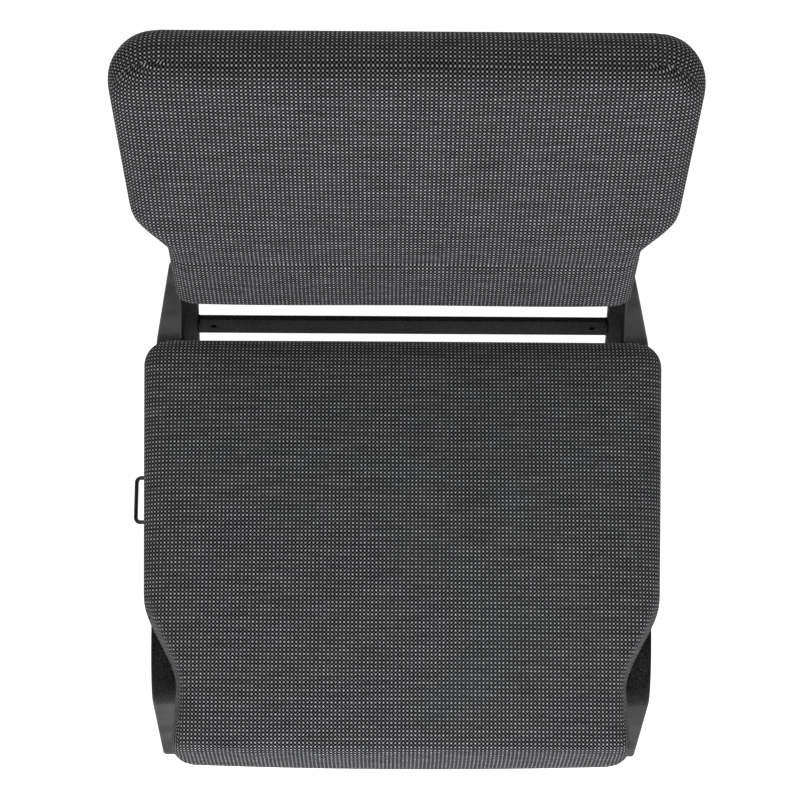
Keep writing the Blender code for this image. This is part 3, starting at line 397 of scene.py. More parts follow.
def seat_surface(rows, columns):
    """Top of the seat: shoulder height, plus the rise as a product of edge curves, plus the crown."""
    ys = graded(SEAT_FRONT_Y - COVER, SEAT_REAR_Y + COVER, *SEAT_FINE, rows)
    us = graded(-1.0, 1.0, *SIDE_FINE, columns)
    half = seat_half(ys)[:, None]
    y = np.repeat(ys[:, None], columns, 1)
    x = us[None, :] * half
    front_rise = sloped_edge(y - SEAT_FRONT_Y + COVER, *SEAT_FRONT_SHAPE)
    # The cover slopes out to the board along the notches and is rolled tight along the straight sides
    inward = (1.0 - np.abs(us))[None, :] * half
    sloped = smooth_step(*SLOPE_STARTS, y) * (1.0 - smooth_step(*SLOPE_ENDS, y))
    notch_rise = sloped_edge(inward, *SEAT_NOTCH_SHAPE)
    rise = sloped * notch_rise + (1.0 - sloped) * round_over(inward, SEAT_EDGE_ROUND)
    rise = rise * front_rise
    rise = rise * round_over(SEAT_REAR_Y + COVER - y, SEAT_EDGE_ROUND)
    middle = (SEAT_FRONT_Y + SEAT_REAR_Y) / 2
    depth = (SEAT_REAR_Y - SEAT_FRONT_Y) / 2
    crown = SEAT_CROWN * (1.0 - us[None, :] ** 2) * np.clip(1.0 - ((y - middle) / depth) ** 2, 0.0, 1.0)
    z = SEAT_SHOULDER + COVER + (SEAT_TOP - SEAT_CROWN - SEAT_SHOULDER + crown) * rise
    z = z - SEAT_DROP * (1.0 - front_rise * (1.0 - sloped * (1.0 - notch_rise)))
    bow = SEAT_FRONT_BOW * (1.0 - us[None, :] ** 2) * np.clip((middle - y) / depth, 0.0, 1.0)
    return np.stack([x, y - bow, z], -1)


SEAT_ROWS = 89
SEAT_COLUMNS = 93
SIDE_DRAW = 0.0022
HEM_ROLL = 0.003
HEM_STEP = 0.0002
HEM_LIFT = 0.0014
UNDER_GAP = 0.0008
# Half the seat's width and depth, to draw a copy of its outline in by a share
SEAT_HALVES = np.array([0.2770, 0.2235])

seat_top = seat_surface(SEAT_ROWS, SEAT_COLUMNS)
seat_edge = seat_top.reshape(-1, 3)[edge_order(SEAT_ROWS, SEAT_COLUMNS)]
seat_out = edge_normals(seat_edge[:, :2])


def seat_ring(inset, z):
    """The seat's outline moved inwards along its normals, at a height."""
    height = np.broadcast_to(z, len(seat_edge))
    return np.concatenate([seat_edge[:, :2] - seat_out * inset, height[:, None]], 1)


seat_rings = []
low_edge = HEM_Z + HEM_ROLL
for share in np.linspace(0.0, 1.0, 8)[1:]:
    # Sides draw in on half a sine between the shoulder and the hem
    draw = SIDE_DRAW * math.sin(math.pi * share)
    seat_rings.append(seat_ring(draw, seat_edge[:, 2] + (low_edge - seat_edge[:, 2]) * share))
for turn in (math.pi / 6, math.pi / 3, math.pi / 2):
    seat_rings.append(seat_ring(HEM_ROLL * (1.0 - math.cos(turn)), low_edge - HEM_ROLL * math.sin(turn)))
seat_rings.append(seat_ring(HEM_WIDTH, HEM_Z))
seat_rings.append(seat_ring(HEM_WIDTH + HEM_STEP, HEM_Z + HEM_LIFT))
under_scale = 1.0 - (HEM_WIDTH + UNDER_GAP) / SEAT_HALVES
seat_middle = np.array([0.0, (SEAT_FRONT_Y + SEAT_REAR_Y) / 2])
seat_under = np.empty_like(seat_top)
seat_under[..., :2] = seat_middle + (seat_top[..., :2] - seat_middle) * under_scale
seat_under[..., 2] = HEM_Z + HEM_LIFT
# Rows and columns of weave stay straight, because neither walk counts the drift across its own way
walked_across = walked(seat_top, 1, SEAT_COLUMNS // 2, 1)
walked_along = walked(seat_top, 0, SEAT_ROWS // 2, 0)
seat_cloth = np.stack([walked_across, walked_along], -1)
seat_pad = pad_object("seat_pad", seat_top, seat_rings, seat_under, seat_cloth, seat_under[..., :2])
first_held = SEAT_ROWS * SEAT_COLUMNS + len(seat_edge)
settle(seat_pad, np.arange(first_held, len(seat_pad.data.vertices)))

# %% [markdown]
# ## Back pad
#
# The back is a fabric sleeve over two boards with foam in front. It is measured along the line of the
# uprights, which lean back 16 degrees and then bend on to 28.5: every point is a width, a distance up
# that line and a distance in front of or behind it. The face is bowed, crowned and rounded at its edges,
# a pull-in runs across it where the lower part meets the upper, and a rolled edge joins it to the rear.

# %% Back pad surface
BACK_Y = 0.1725
BACK_Z = 0.495
LOW_RECLINE = math.radians(16.0)
BACK_TURN = math.radians(12.5)
TURN_START = 0.120
TURN_RADIUS = 0.250
BACK_TOP = 0.350
BACK_WIDTHS = (0.4700, 0.5310, 0.5430)
WING = (0.103, 0.166)
BACK_CORNERS = (0.012, 0.048)
BACK_EDGE_ROUND = 0.022
BACK_FRONT = -0.0110
BACK_FOAM = 0.0205
BACK_SIDE = 0.006
BACK_CROWN = 0.005
BACK_BOW = 0.002
BACK_BOW_HALF = 0.190
BACK_REAR = 0.0276
REAR_ROUND = 0.004
CREASE = (0.092, 0.0045, 0.006)
CREASE_FADE = (0.55, 0.235)
EDGE_EXTRA = 0.009
BACK_FINE = (0.03, 0.05)


def back_line(s):
    """Depth, height and lean at a distance up the uprights: straight, then an arc, then straight again."""
    arc = BACK_TURN * TURN_RADIUS
    low = np.minimum(s, TURN_START)
    turn = np.clip((s - TURN_START) / arc, 0.0, 1.0) * BACK_TURN
    high = np.maximum(s - TURN_START - arc, 0.0)
    lean = LOW_RECLINE + turn
    last = LOW_RECLINE + BACK_TURN
    y = BACK_Y + low * math.sin(LOW_RECLINE) + high * math.sin(last)
    z = BACK_Z + low * math.cos(LOW_RECLINE) + high * math.cos(last)
    y = y + TURN_RADIUS * (math.cos(LOW_RECLINE) - np.cos(lean))
    z = z + TURN_RADIUS * (np.sin(lean) - math.sin(LOW_RECLINE))
    return y, z, lean


def back_point(x, s, n):
    """The point at a width, a distance up the line and a distance n square behind it."""
    y, z, lean = back_line(s)
    return np.stack(np.broadcast_arrays(x, y + n * np.cos(lean), z - n * np.sin(lean)), -1)


def back_half(s):
    """Half the back's width: narrow foot, an S-curve out to the wings, a slight flare, round corners."""
    narrow, wing, top = BACK_WIDTHS
    flare = np.clip((s - WING[1]) / (BACK_TOP - WING[1]), 0.0, 1.0)
    half = (narrow + (wing + (top - wing) * flare - narrow) * smooth_step(*WING, s)) / 2 + COVER
    half = half - corner_loss(s + COVER, BACK_CORNERS[0])
    return half - corner_loss(BACK_TOP + COVER - s, BACK_CORNERS[1])


def back_grids(rows, columns):
    """Face and rear of the back: foam is an edge curve times (depth, plus crown, less the pull-in)."""
    ss = graded(-COVER, BACK_TOP + COVER, *BACK_FINE, rows)
    us = graded(-1.0, 1.0, *SIDE_FINE, columns)
    half = back_half(ss)[:, None]
    s = np.repeat(ss[:, None], columns, 1)
    x = us[None, :] * half
    rise = round_over((1.0 - np.abs(us))[None, :] * half, BACK_EDGE_ROUND)
    rise = rise * round_over(s + COVER, BACK_EDGE_ROUND) * round_over(BACK_TOP + COVER - s, BACK_EDGE_ROUND)
    at, deep, wide = CREASE
    fade, fade_half = CREASE_FADE
    crease = deep * np.exp(-(((s - at) / wide) ** 2)) * (1.0 - fade * (x / fade_half) ** 2)
    # On the flat cloth a rounded edge takes extra length, shared out between the edges that are near
    side = 1.0 - round_over((1.0 - np.abs(us))[None, :] * half, BACK_EDGE_ROUND)
    foot = 1.0 - round_over(s + COVER, BACK_EDGE_ROUND)
    top = 1.0 - round_over(BACK_TOP + COVER - s, BACK_EDGE_ROUND)
    extra = EDGE_EXTRA * (1.0 - rise) / np.maximum(side + foot + top, 1e-9)
    cloth = np.stack([x + np.sign(us)[None, :] * extra * side, s + extra * (top - foot)], -1)
    crown = BACK_CROWN * (1.0 - (x / (BACK_WIDTHS[1] / 2)) ** 2)
    foam = BACK_SIDE + (BACK_FOAM - BACK_SIDE + crown - crease) * rise
    bow = BACK_BOW * np.clip(1.0 - (x / BACK_BOW_HALF) ** 2, 0.0, 1.0) ** 2
    face = back_point(x, s, bow + BACK_FRONT - foam - COVER)
    rear = back_point(x, s, BACK_REAR - REAR_ROUND * (1.0 - rise))
    return face, rear, x, s, cloth


BACK_ROWS = 81
BACK_COLUMNS = 85
ROLL_TOP = 0.007
ROLL_SIDE = 0.0035
ROLL_FADE = 1.6
PULL_HALF = 0.0025
back_face, back_rear, back_x, back_s, back_cloth = back_grids(BACK_ROWS, BACK_COLUMNS)
order = edge_order(BACK_ROWS, BACK_COLUMNS)
front_edge = back_face.reshape(-1, 3)[order]
rear_edge = back_rear.reshape(-1, 3)[order]
edge_x = back_x.reshape(-1)[order]
edge_s = back_s.reshape(-1)[order]
edge_out = edge_normals(np.stack([edge_x, edge_s], -1))
lean = back_line(edge_s)[2]
out_3d = np.stack([edge_out[:, 0], edge_out[:, 1] * np.sin(lean), edge_out[:, 1] * np.cos(lean)], -1)
# The rolled edge swells most along the top and not at all along the foot
swell = ROLL_SIDE + (ROLL_TOP - ROLL_SIDE) * np.clip(edge_out[:, 1], 0.0, 1.0)
swell = swell * np.clip(1.0 + edge_out[:, 1] * ROLL_FADE, 0.0, 1.0)
back_rings = []
for share in np.linspace(0.0, 1.0, 11)[1:-1]:
    bulge = swell * math.sin(math.pi * share)
    back_rings.append(front_edge + (rear_edge - front_edge) * share + out_3d * bulge[:, None])
rear_cloth = np.stack([-back_x, -back_s], -1)
back_pad = pad_object("back_pad", back_face, back_rings, back_rear, back_cloth, rear_cloth)
# The pull-in, the rear and the rear half of the rolled edge are held
first_held = BACK_ROWS * BACK_COLUMNS + len(order) * (len(back_rings) // 2)
pulled = np.flatnonzero(np.abs(back_s.reshape(-1) - CREASE[0]) < PULL_HALF)
settle(back_pad, np.concatenate([pulled, np.arange(first_held, len(back_pad.data.vertices))]))

# %% [markdown]
# ## Dot-weave upholstery
#
# The cover is a heavy plain weave of charcoal yarn with a pale nub at every crossing, about 4 mm apart.
# Seen close, pale nubs stand on a square net, a dim charcoal nub sits between every four of them, and the
# hollows between neighbours are painted almost black: the dark gaps between the yarns, with painted shade
# added where shade falls between the nubs. Each cell of the cloth map draws those three tones. The nubs
# are raised with a bump, and long thin noise along the yarn makes some rows darker, as uneven yarn does.

# %% Dot-weave material
NUB_COLOUR = "#bbbcbf"
DIM_COLOUR = "#5e5f62"
# Painted shade: the hollows are darker than the charcoal yarn, for the shade between the nubs over the dark
# gaps
HOLLOW_SHADE_COLOUR = "#060606"
NUB_HEIGHT = 0.0006
SLUB_LENGTH = 0.050
SLUB_ROWS = 1.1
HALF_CELL = (0.5, 0.5, 0.0)

# Woven polyester upholstery: matt, with a soft sheen at low angles from the fibre ends
weave, tree, shader = new_material("charcoal dot weave polyester")
cloth = add(tree, "ShaderNodeUVMap", {"uv_map": "cloth"})
per_nub = {"operation": "SCALE", "Scale": 1.0 / NUB_PITCH}
cells = add(tree, "ShaderNodeVectorMath", per_nub, {0: cloth.outputs["UV"]})
part = add(tree, "ShaderNodeVectorMath", {"operation": "FRACTION"}, {0: cells.outputs[0]})
centred = add(tree, "ShaderNodeVectorMath", {"operation": "SUBTRACT", 1: HALF_CELL}, {0: part.outputs[0]})
reach = add(tree, "ShaderNodeVectorMath", {"operation": "LENGTH"}, {0: centred.outputs[0]})
nub = add(
    tree,
    "ShaderNodeMapRange",
    {"interpolation_type": "SMOOTHSTEP", "From Min": 0.34, "From Max": 0.14, "To Min": 0.0, "To Max": 1.0},
    {"Value": reach.outputs["Value"]},
)
spread = add(tree, "ShaderNodeVectorMath", {"operation": "ABSOLUTE"}, {0: centred.outputs[0]})
aside = add(tree, "ShaderNodeVectorMath", {"operation": "SUBTRACT", 0: HALF_CELL}, {1: spread.outputs[0]})
corner = add(tree, "ShaderNodeVectorMath", {"operation": "LENGTH"}, {0: aside.outputs[0]})
dim = add(
    tree,
    "ShaderNodeMapRange",
    {"interpolation_type": "SMOOTHSTEP", "From Min": 0.34, "From Max": 0.12, "To Min": 0.0, "To Max": 1.0},
    {"Value": corner.outputs["Value"]},
)
# Yarn that varies: noise cells 50 mm long and about one row high along the weft
stretched = add(
    tree,
    "ShaderNodeVectorMath",
    {"operation": "MULTIPLY", 1: (1.0 / SLUB_LENGTH, 1.0 / (SLUB_ROWS * NUB_PITCH), 1.0)},
    {0: cloth.outputs["UV"]},
)
uneven = {"Scale": 1.0, "Detail": 2.0, "Roughness": 0.6}
slub = add(tree, "ShaderNodeTexNoise", uneven, {"Vector": stretched.outputs[0]})
speck = add(tree, "ShaderNodeTexNoise", {"Scale": 0.9, "Detail": 1.0}, {"Vector": cells.outputs[0]})
nub_share = add(
    tree,
    "ShaderNodeMapRange",
    {"From Min": 0.30, "From Max": 0.66, "To Min": 0.58, "To Max": 1.0},
    {"Value": slub.outputs["Fac"]},
)
nub_speck = add(
    tree,
    "ShaderNodeMapRange",
    {"From Min": 0.30, "From Max": 0.62, "To Min": 0.65, "To Max": 1.0},
    {"Value": speck.outputs["Fac"]},
)
times = {"operation": "MULTIPLY"}
yarn = nub_share.outputs["Result"]
shown = add(tree, "ShaderNodeMath", times, {0: nub.outputs["Result"], 1: yarn})
shown = add(tree, "ShaderNodeMath", times, {0: shown.outputs[0], 1: nub_speck.outputs["Result"]})
low = add(tree, "ShaderNodeMath", times, {0: dim.outputs["Result"], 1: yarn})
# Ground between the pale nubs: the dim nubs, and the hollows painted near black as painted shade
ground = add(tree, "ShaderNodeMix", {"data_type": "RGBA"}, {"Factor": low.outputs[0]})
ground.inputs[6].default_value = linear(HOLLOW_SHADE_COLOUR)
ground.inputs[7].default_value = linear(DIM_COLOUR)
final = add(tree, "ShaderNodeMix", {"data_type": "RGBA"}, {"Factor": shown.outputs[0]})
final.inputs[7].default_value = linear(NUB_COLOUR)
tree.links.new(ground.outputs[2], final.inputs[6])
tree.links.new(final.outputs[2], shader.inputs["Base Color"])
both = {0: nub.outputs["Result"], 1: dim.outputs["Result"]}
relief = add(tree, "ShaderNodeMath", {"operation": "ADD"}, both)
bump = add(tree, "ShaderNodeBump", {"Strength": 0.7, "Distance": NUB_HEIGHT}, {"Height": relief.outputs[0]})
tree.links.new(bump.outputs["Normal"], shader.inputs["Normal"])
shader.inputs["Roughness"].default_value = 0.92
shader.inputs["Specular IOR Level"].default_value = 0.04
shader.inputs["Sheen Weight"].default_value = 0.03
shader.inputs["Sheen Roughness"].default_value = 0.45
shader.inputs["Sheen Tint"].default_value = linear("#c8c8c8")

for pad, stands_for in (
    (seat_pad, ("seat_cover", "seat_foam")),
    (back_pad, ("back_cover", "back_foam", "back_top_roll")),
):
    pad.data.materials.append(weave)
    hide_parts(*stands_for)
    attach(pad, "chair")
print("weave on", seat_pad.name, "and", back_pad.name)

# %% [markdown]
# ## Powder-coated steel
#
# The frames, uprights, rails and hook are mild steel with a black powder coat. The powder flows out
# while it is baked and leaves a shallow orange peel a millimetre or two across, so the finish is a soft
# satin with broken highlights rather than a mirror.

# %% Powder coat on the steel
PEEL_MM = 2.0

# Baked black powder: satin, with a fine uneven skin that breaks up each highlight
coat, tree, shader = new_material("black powder coat on steel")
place = add(tree, "ShaderNodeTexCoord")
peel_size = {"Scale": 1000.0 / PEEL_MM, "Detail": 2.0}
peel = add(tree, "ShaderNodeTexNoise", peel_size, {"Vector": place.outputs["Object"]})
cloud = add(tree, "ShaderNodeTexNoise", {"Scale": 14.0, "Detail": 4.0}, {"Vector": place.outputs["Object"]})
# Painted shade and highlight: the colour is darker in the peel's hollows and lighter on its crests, where
# shine falls
tone = add(tree, "ShaderNodeValToRGB", links={"Fac": peel.outputs["Fac"]})
tone.color_ramp.elements[0].position = 0.38
tone.color_ramp.elements[0].color = linear("#090909")
tone.color_ramp.elements[1].position = 0.72
tone.color_ramp.elements[1].color = linear("#2a2a29")
tree.links.new(tone.outputs["Color"], shader.inputs["Base Color"])
gloss = add(
    tree,
    "ShaderNodeMapRange",
    {"From Min": 0.3, "From Max": 0.7, "To Min": 0.46, "To Max": 0.60},
    {"Value": cloud.outputs["Fac"]},
)
tree.links.new(gloss.outputs["Result"], shader.inputs["Roughness"])
bump = add(tree, "ShaderNodeBump", {"Strength": 0.6, "Distance": 0.0003}, {"Height": peel.outputs["Fac"]})
tree.links.new(bump.outputs["Normal"], shader.inputs["Normal"])
shader.inputs["Specular IOR Level"].default_value = 0.045
print(coat.name, "with a peel of", PEEL_MM, "mm")

# %% [markdown]
# ## Smooth bends
#
# The solids come as loose flat triangles, which would show every facet of a bent tube. A copy with its
# points merged can be shaded smoothly, and edges sharper than about 32 degrees stay crisp. The light
# then runs round each bend, as it does on drawn tube.

# %% Smooth copies of bent and moulded pieces
sides = ("left", "right")
ends = ("front", "rear")
KEEP_SHARP = math.radians(32.0)
pieces = dict(nodes)


def points_of(name):
    """All corner points of a solid as an array."""
    spots = np.empty(3 * len(nodes[name].data.vertices), np.float32)
    nodes[name].data.vertices.foreach_get("co", spots)
    return spots.reshape(-1, 3)


def smooth_copy(name, body):
    """A merged copy of a solid: equal corners become one point, so light runs smoothly round its bends."""
    source = nodes[name].data
    corners = np.empty(len(source.loops), np.int32)
    source.loops.foreach_get("vertex_index", corners)
    merged, index = np.unique(np.round(points_of(name), 6), axis=0, return_inverse=True)
    faces = index.reshape(-1)[corners].reshape(-1, 3)
    whole = (faces != np.roll(faces, 1, 1)).all(1)
    mesh = bpy.data.meshes.new(f"{name}_smooth")
    mesh.from_pydata(merged.tolist(), [], faces[whole].tolist())
    mesh.shade_smooth()
    mesh.set_sharp_from_angle(angle=KEEP_SHARP)
    item = bpy.data.objects.new(f"{name}_smooth", mesh)
    bpy.context.scene.collection.objects.link(item)
    item.modifiers.new("even_normals", "WEIGHTED_NORMAL").keep_sharp = True
    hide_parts(name)
    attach(item, body)
    pieces[name] = item


for name in [f"{side}_{part}" for side in sides for part in ("side_frame", "upright")] + ["ganging_hook"]:
    smooth_copy(name, "chair")
for name in [f"{end}_{side}_glide" for end in ends for side in sides]:
    smooth_copy(name, "chair")
smooth_copy("ganging_loop", "loop")
print("smooth copies:", sum(pieces[name] is not nodes[name] for name in pieces))

# %% Put the coat on the steel


def dress(material, *names):
    """Puts one finish on the named pieces."""
    for name in names:
        slots = pieces[name].data.materials
        slots.clear()
        slots.append(material)
    print(material.name, "on", len(names), "pieces")


dress(
    coat,
    *[f"{side}_side_frame" for side in sides],
    *[f"{side}_upright" for side in sides],
    *[f"{end}_seat_rail" for end in ends],
    *[f"{end}_loop_sleeve" for end in ends],
    "rear_crossbar",
    "ganging_hook",
)

# %% [markdown]
# ## Plastic, plating, plywood and lining
#
# The glides, bumpers and end plugs are black moulded plastic with the fine spark-eroded grain of a mould.
# The loop is a black-plated rod, the screws and stops bright zinc. Under the seat a thin spun lining hides
# the board. The boards hardly show, but each still gets its own finish.

# %% Moulded plastic
GRAIN_MM = 0.8

# Spark-eroded mould grain is about 0.1 mm; it is drawn at 0.8 mm so that it shows
plastic, tree, shader = new_material("black moulded polypropylene")
place = add(tree, "ShaderNodeTexCoord")
grain = add(tree, "ShaderNodeTexVoronoi", {"Scale": 1000.0 / GRAIN_MM}, {"Vector": place.outputs["Object"]})
scuff = add(tree, "ShaderNodeTexNoise", {"Scale": 60.0, "Detail": 5.0}, {"Vector": place.outputs["Object"]})
tone = add(tree, "ShaderNodeValToRGB", links={"Fac": scuff.outputs["Fac"]})
tone.color_ramp.elements[0].position = 0.35
tone.color_ramp.elements[0].color = linear("#0b0b0b")
tone.color_ramp.elements[1].position = 0.8
tone.color_ramp.elements[1].color = linear("#161616")
tree.links.new(tone.outputs["Color"], shader.inputs["Base Color"])
pits = {"Strength": 0.3, "Distance": 0.0001}
bump = add(tree, "ShaderNodeBump", pits, {"Height": grain.outputs["Distance"]})
tree.links.new(bump.outputs["Normal"], shader.inputs["Normal"])
shader.inputs["Roughness"].default_value = 0.55
shader.inputs["Specular IOR Level"].default_value = 0.15
dress(
    plastic,
    *[f"{end}_{side}_{part}" for end in ends for side in sides for part in ("glide", "bumper")],
    *[f"{side}_upright_plug" for side in sides],
)

# %% Black-plated rod and zinc-plated fastenings
SPANGLE_MM = 1.5

# Black-plated drawn rod: fine lines along its length, half metal and half dark film
plated, tree, shader = new_material("black plated steel rod")
place = add(tree, "ShaderNodeTexCoord")
drawn = add(tree, "ShaderNodeMapping", {"Scale": (40.0, 900.0, 900.0)}, {"Vector": place.outputs["Object"]})
lines = add(tree, "ShaderNodeTexNoise", {"Scale": 1.0, "Detail": 3.0}, {"Vector": drawn.outputs["Vector"]})
gloss = add(tree, "ShaderNodeMapRange", {"To Min": 0.28, "To Max": 0.46}, {"Value": lines.outputs["Fac"]})
tree.links.new(gloss.outputs["Result"], shader.inputs["Roughness"])
bump = add(tree, "ShaderNodeBump", {"Strength": 0.15, "Distance": 0.0001}, {"Height": lines.outputs["Fac"]})
tree.links.new(bump.outputs["Normal"], shader.inputs["Normal"])
shader.inputs["Base Color"].default_value = linear("#2b2b2c")
shader.inputs["Metallic"].default_value = 0.5
dress(plated, "ganging_loop")

# Bright zinc: a thin plated film whose crystals give a faint patchy shine
zinc, tree, shader = new_material("bright zinc plate on steel")
place = add(tree, "ShaderNodeTexCoord")
crystals = {"Scale": 1000.0 / SPANGLE_MM}
spangle = add(tree, "ShaderNodeTexVoronoi", crystals, {"Vector": place.outputs["Object"]})
tone = add(tree, "ShaderNodeValToRGB", links={"Fac": spangle.outputs["Distance"]})
tone.color_ramp.elements[0].color = linear("#b9bcbd")
tone.color_ramp.elements[1].color = linear("#9fa2a2")
tree.links.new(tone.outputs["Color"], shader.inputs["Base Color"])
shader.inputs["Metallic"].default_value = 1.0
shader.inputs["Roughness"].default_value = 0.34
dress(
    zinc,
    *[f"{end}_{side}_seat_screw" for end in ends for side in sides],
    *[f"{side}_back_screw_{count}" for side in sides for count in (1, 2)],
    *[f"{end}_loop_stop" for end in ends],
)

# %% Plywood
# Peeled birch veneer: pale, with grain drawn out along the sheet
plywood, tree, shader = new_material("birch plywood")
place = add(tree, "ShaderNodeTexCoord")
stretch = add(tree, "ShaderNodeMapping", {"Scale": (6.0, 90.0, 400.0)}, {"Vector": place.outputs["Object"]})
figure = {"Scale": 1.0, "Detail": 6.0, "Roughness": 0.65}
grain = add(tree, "ShaderNodeTexNoise", figure, {"Vector": stretch.outputs["Vector"]})
tone = add(tree, "ShaderNodeValToRGB", links={"Fac": grain.outputs["Fac"]})
tone.color_ramp.elements[0].position = 0.3
tone.color_ramp.elements[0].color = linear("#b58f5f")
tone.color_ramp.elements[1].position = 0.7
tone.color_ramp.elements[1].color = linear("#dcc095")
tree.links.new(tone.outputs["Color"], shader.inputs["Base Color"])
bump = add(tree, "ShaderNodeBump", {"Strength": 0.2, "Distance": 0.0002}, {"Height": grain.outputs["Fac"]})
tree.links.new(bump.outputs["Normal"], shader.inputs["Normal"])
shader.inputs["Roughness"].default_value = 0.62
dress(plywood, "seat_board", "back_board", "back_rear_board", "back_spacer")

# %% Lining
FIBRE_MM = 0.9
BOND_MM = 2.0

# Spunbond polypropylene: fibres far finer than 0.1 mm, drawn at 0.9 mm to show, with bond points 2 mm apart
lining, tree, shader = new_material("black spunbond lining")
place = add(tree, "ShaderNodeTexCoord")
fibre_size = {"Scale": 1000.0 / FIBRE_MM, "Detail": 4.0}
fibres = add(tree, "ShaderNodeTexNoise", fibre_size, {"Vector": place.outputs["Object"]})
bond_net = {"Scale": 1000.0 / BOND_MM, "Randomness": 0.15}
bonds = add(tree, "ShaderNodeTexVoronoi", bond_net, {"Vector": place.outputs["Object"]})
tone = add(tree, "ShaderNodeValToRGB", links={"Fac": fibres.outputs["Fac"]})
tone.color_ramp.elements[0].position = 0.3
tone.color_ramp.elements[0].color = linear("#131314")
tone.color_ramp.elements[1].position = 0.75
tone.color_ramp.elements[1].color = linear("#2a2a2b")
tree.links.new(tone.outputs["Color"], shader.inputs["Base Color"])
dimples = {"Strength": 0.4, "Distance": 0.0002}
bump = add(tree, "ShaderNodeBump", dimples, {"Height": bonds.outputs["Distance"]})
tree.links.new(bump.outputs["Normal"], shader.inputs["Normal"])
shader.inputs["Roughness"].default_value = 0.95

# The lining is stretched between its staples, so it dips a hair where nothing holds it up
LINING_INSET = 0.0198
LINING_LOW = 0.3889
LINING_THICK = 0.0006
LINING_DIP = 0.0005
lining_scale = 1.0 - LINING_INSET / SEAT_HALVES
low_side = np.empty_like(seat_top)
low_side[..., :2] = seat_middle + (seat_top[..., :2] - seat_middle) * lining_scale
across = np.cos(math.pi / 2 * np.linspace(-1.0, 1.0, SEAT_COLUMNS))[None, :]
along = np.sin(3.0 * math.pi * np.linspace(0.0, 1.0, SEAT_ROWS))[:, None] ** 2
low_side[..., 2] = LINING_LOW - LINING_DIP * across * along
high_side = low_side + np.array([0.0, 0.0, LINING_THICK])
seat_lining = pad_object("seat_lining", high_side, [], low_side, high_side[..., :2], low_side[..., :2])
seat_lining.data.materials.append(lining)
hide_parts("seat_dust_cover")
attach(seat_lining, "chair")

# %% [markdown]
# ## Welds, staples and stitches
#
# Small fixings tell how the chair is put together. A weld bead is a rod laid in a corner with a ripple
# for each step of the torch. Staples hold the hem to the board, and a row of stitches closes the
# sleeve at the foot of the back. All three are the same form: an ellipse carried along a short path.

# %% Rods along short paths
RING = np.linspace(0.0, 2.0 * math.pi, 10, endpoint=False)


def rods(name, paths, up, wide, high, ripple):
    """Ellipses carried along paths: half width and height swell by a cosine wave and draw in at the ends."""
    count, steps = paths.shape[:2]
    along = np.gradient(paths, axis=1)
    along = along / np.linalg.norm(along, axis=-1, keepdims=True)
    aside = np.cross(along, up[:, None, :])
    share = np.linspace(-1.0, 1.0, steps)
    swell = np.sqrt(1.0 - 0.9 * share**8) * (1.0 + ripple * np.cos(math.pi / 2 * np.arange(steps)))
    swell = swell[None, :, None, None]
    points = paths[:, :, None] + swell * (
        wide * np.cos(RING)[None, None, :, None] * aside[:, :, None]
        + high * np.sin(RING)[None, None, :, None] * up[:, None, None, :]
    )
    index = np.arange(points.shape[0] * steps * len(RING)).reshape(count, steps, len(RING))
    turned = np.roll(index, -1, 2)
    walls = np.stack([index[:, :-1], turned[:, :-1], turned[:, 1:], index[:, 1:]], -1).reshape(-1, 4)
    caps = np.concatenate([index[:, 0, ::-1], index[:, -1]])
    mesh = bpy.data.meshes.new(name)
    mesh.from_pydata(points.reshape(-1, 3).tolist(), [], walls.tolist() + caps.tolist())
    item = outward_object(mesh)
    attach(item, "chair")
    print(name, count, "rods")
    return item


# %% Weld beads
BEAD = 0.0018
BEAD_STEPS = 25
BEAD_SINK = 0.0004
BEAD_RIPPLE = 0.10
BEAD_DEPTHS = (0.0015, 0.0085)
BEAD_END = 0.002
BEAD_TOP_END = 0.0025
# Middle of the crossbar on the uprights' line, and half the length of a bead at its ends
BAR_S = -0.10403
BAR_HALF = 0.0135
EDGE_BAND = 0.004
bar = points_of("rear_crossbar")
high_end = bar[bar[:, 2] > bar[:, 2].max() - EDGE_BAND, 0].max()
low_end = bar[bar[:, 2] < bar[:, 2].min() + EDGE_BAND, 0].max()
bar_s = BAR_S + np.linspace(-BAR_HALF, BAR_HALF, BEAD_STEPS)
bar_x = np.linspace(low_end, high_end, BEAD_STEPS) - BEAD_SINK
paths = [back_point(side * bar_x, bar_s, n) for side in (-1.0, 1.0) for n in BEAD_DEPTHS]
square = np.array([0.0, math.cos(LOW_RECLINE), -math.sin(LOW_RECLINE)])
ups = [square] * len(paths)
for end in ends:
    tube = points_of(f"{end}_seat_rail")
    low, high = tube.min(0), tube.max(0)
    rise = np.linspace(low[2] + BEAD_END, high[2] - BEAD_TOP_END, BEAD_STEPS)
    width = np.linspace(low[1] + BEAD_END, high[1] - BEAD_END, BEAD_STEPS)
    still = np.zeros(BEAD_STEPS)
    for x in (low[0] + BEAD_SINK, high[0] - BEAD_SINK):
        for y in (low[1], high[1]):
            paths.append(np.stack([still + x, still + y, rise], -1))
            ups.append(np.array([0.0, 1.0, 0.0]))
        paths.append(np.stack([still + x, width, still + low[2]], -1))
        ups.append(np.array([0.0, 0.0, 1.0]))
welds = rods("weld_beads", np.stack(paths), np.stack(ups), BEAD, BEAD, BEAD_RIPPLE)
welds.data.materials.append(coat)

# %% Hem staples
STAPLE = 0.0105
STAPLE_EVERY = 0.034
STAPLE_WIRE = (0.0006, 0.0004)
STAPLE_SINK = 0.0001
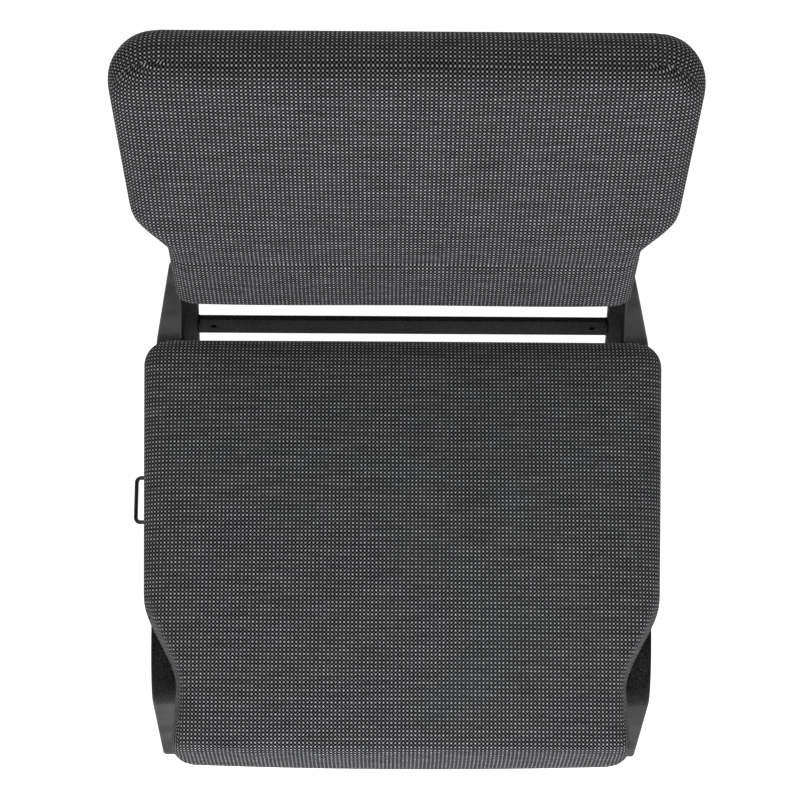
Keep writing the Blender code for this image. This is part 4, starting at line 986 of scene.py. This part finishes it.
# No staples where the side rails lie against the hem: beyond this width, between these depths
RAIL_ZONE = (0.235, -0.262, 0.135)
hem_line = seat_edge[:, :2] - seat_out * HEM_WIDTH / 2
hem_closed = np.concatenate([hem_line, hem_line[:1]])
hem_walk = np.concatenate([[0.0], np.cumsum(np.linalg.norm(np.diff(hem_closed, axis=0), axis=1))])
centres = np.arange(STAPLE_EVERY / 2, hem_walk[-1] - STAPLE_EVERY / 2, STAPLE_EVERY)
spots = centres[:, None] + np.linspace(-STAPLE / 2, STAPLE / 2, 7)
staple_x = np.interp(spots, hem_walk, hem_closed[:, 0])
staple_y = np.interp(spots, hem_walk, hem_closed[:, 1])
middle_x, middle_y = np.abs(staple_x[:, 3]), staple_y[:, 3]
clear = (middle_x < RAIL_ZONE[0]) | (middle_y < RAIL_ZONE[1]) | (middle_y > RAIL_ZONE[2])
paths = np.stack([staple_x, staple_y, np.full_like(staple_x, HEM_Z - STAPLE_SINK)], -1)[clear]
ups = np.tile([0.0, 0.0, 1.0], (len(paths), 1))
staples = rods("hem_staples", paths, ups, *STAPLE_WIRE, 0.0)
staples.data.materials.append(zinc)

# %% Stitches along the foot of the back
STITCH = 0.0038
STITCH_EVERY = 0.0052
SEAM_S = 0.014
SEAM_HALF = 0.212
THREAD = 0.0004
STITCH_RISE = 0.0003
# Bonded sewing thread: smooth, with a fine twist
thread, tree, shader = new_material("black bonded polyester thread")
place = add(tree, "ShaderNodeTexCoord")
plies = {"Scale": 900.0, "Distortion": 0.5}
twist = add(tree, "ShaderNodeTexWave", plies, {"Vector": place.outputs["Object"]})
bump = add(tree, "ShaderNodeBump", {"Strength": 0.4, "Distance": 0.0001}, {"Height": twist.outputs["Fac"]})
tree.links.new(bump.outputs["Normal"], shader.inputs["Normal"])
shader.inputs["Base Color"].default_value = linear("#17181a")
shader.inputs["Roughness"].default_value = 0.7
seam_depth = BACK_REAR - REAR_ROUND * (1.0 - float(round_over(SEAM_S + COVER, BACK_EDGE_ROUND)))
centres = np.arange(-SEAM_HALF, SEAM_HALF + 0.001, STITCH_EVERY)
stitch_x = centres[:, None] + np.linspace(-STITCH / 2, STITCH / 2, 7)
arch = STITCH_RISE * (1.0 - np.linspace(-1.0, 1.0, 7) ** 2) + np.zeros_like(stitch_x)
paths = back_point(stitch_x, np.full_like(stitch_x, SEAM_S), seam_depth + arch)
stitches = rods("foot_seam_stitches", paths, np.tile(square, (len(paths), 1)), THREAD, THREAD, 0.0)
stitches.data.materials.append(thread)
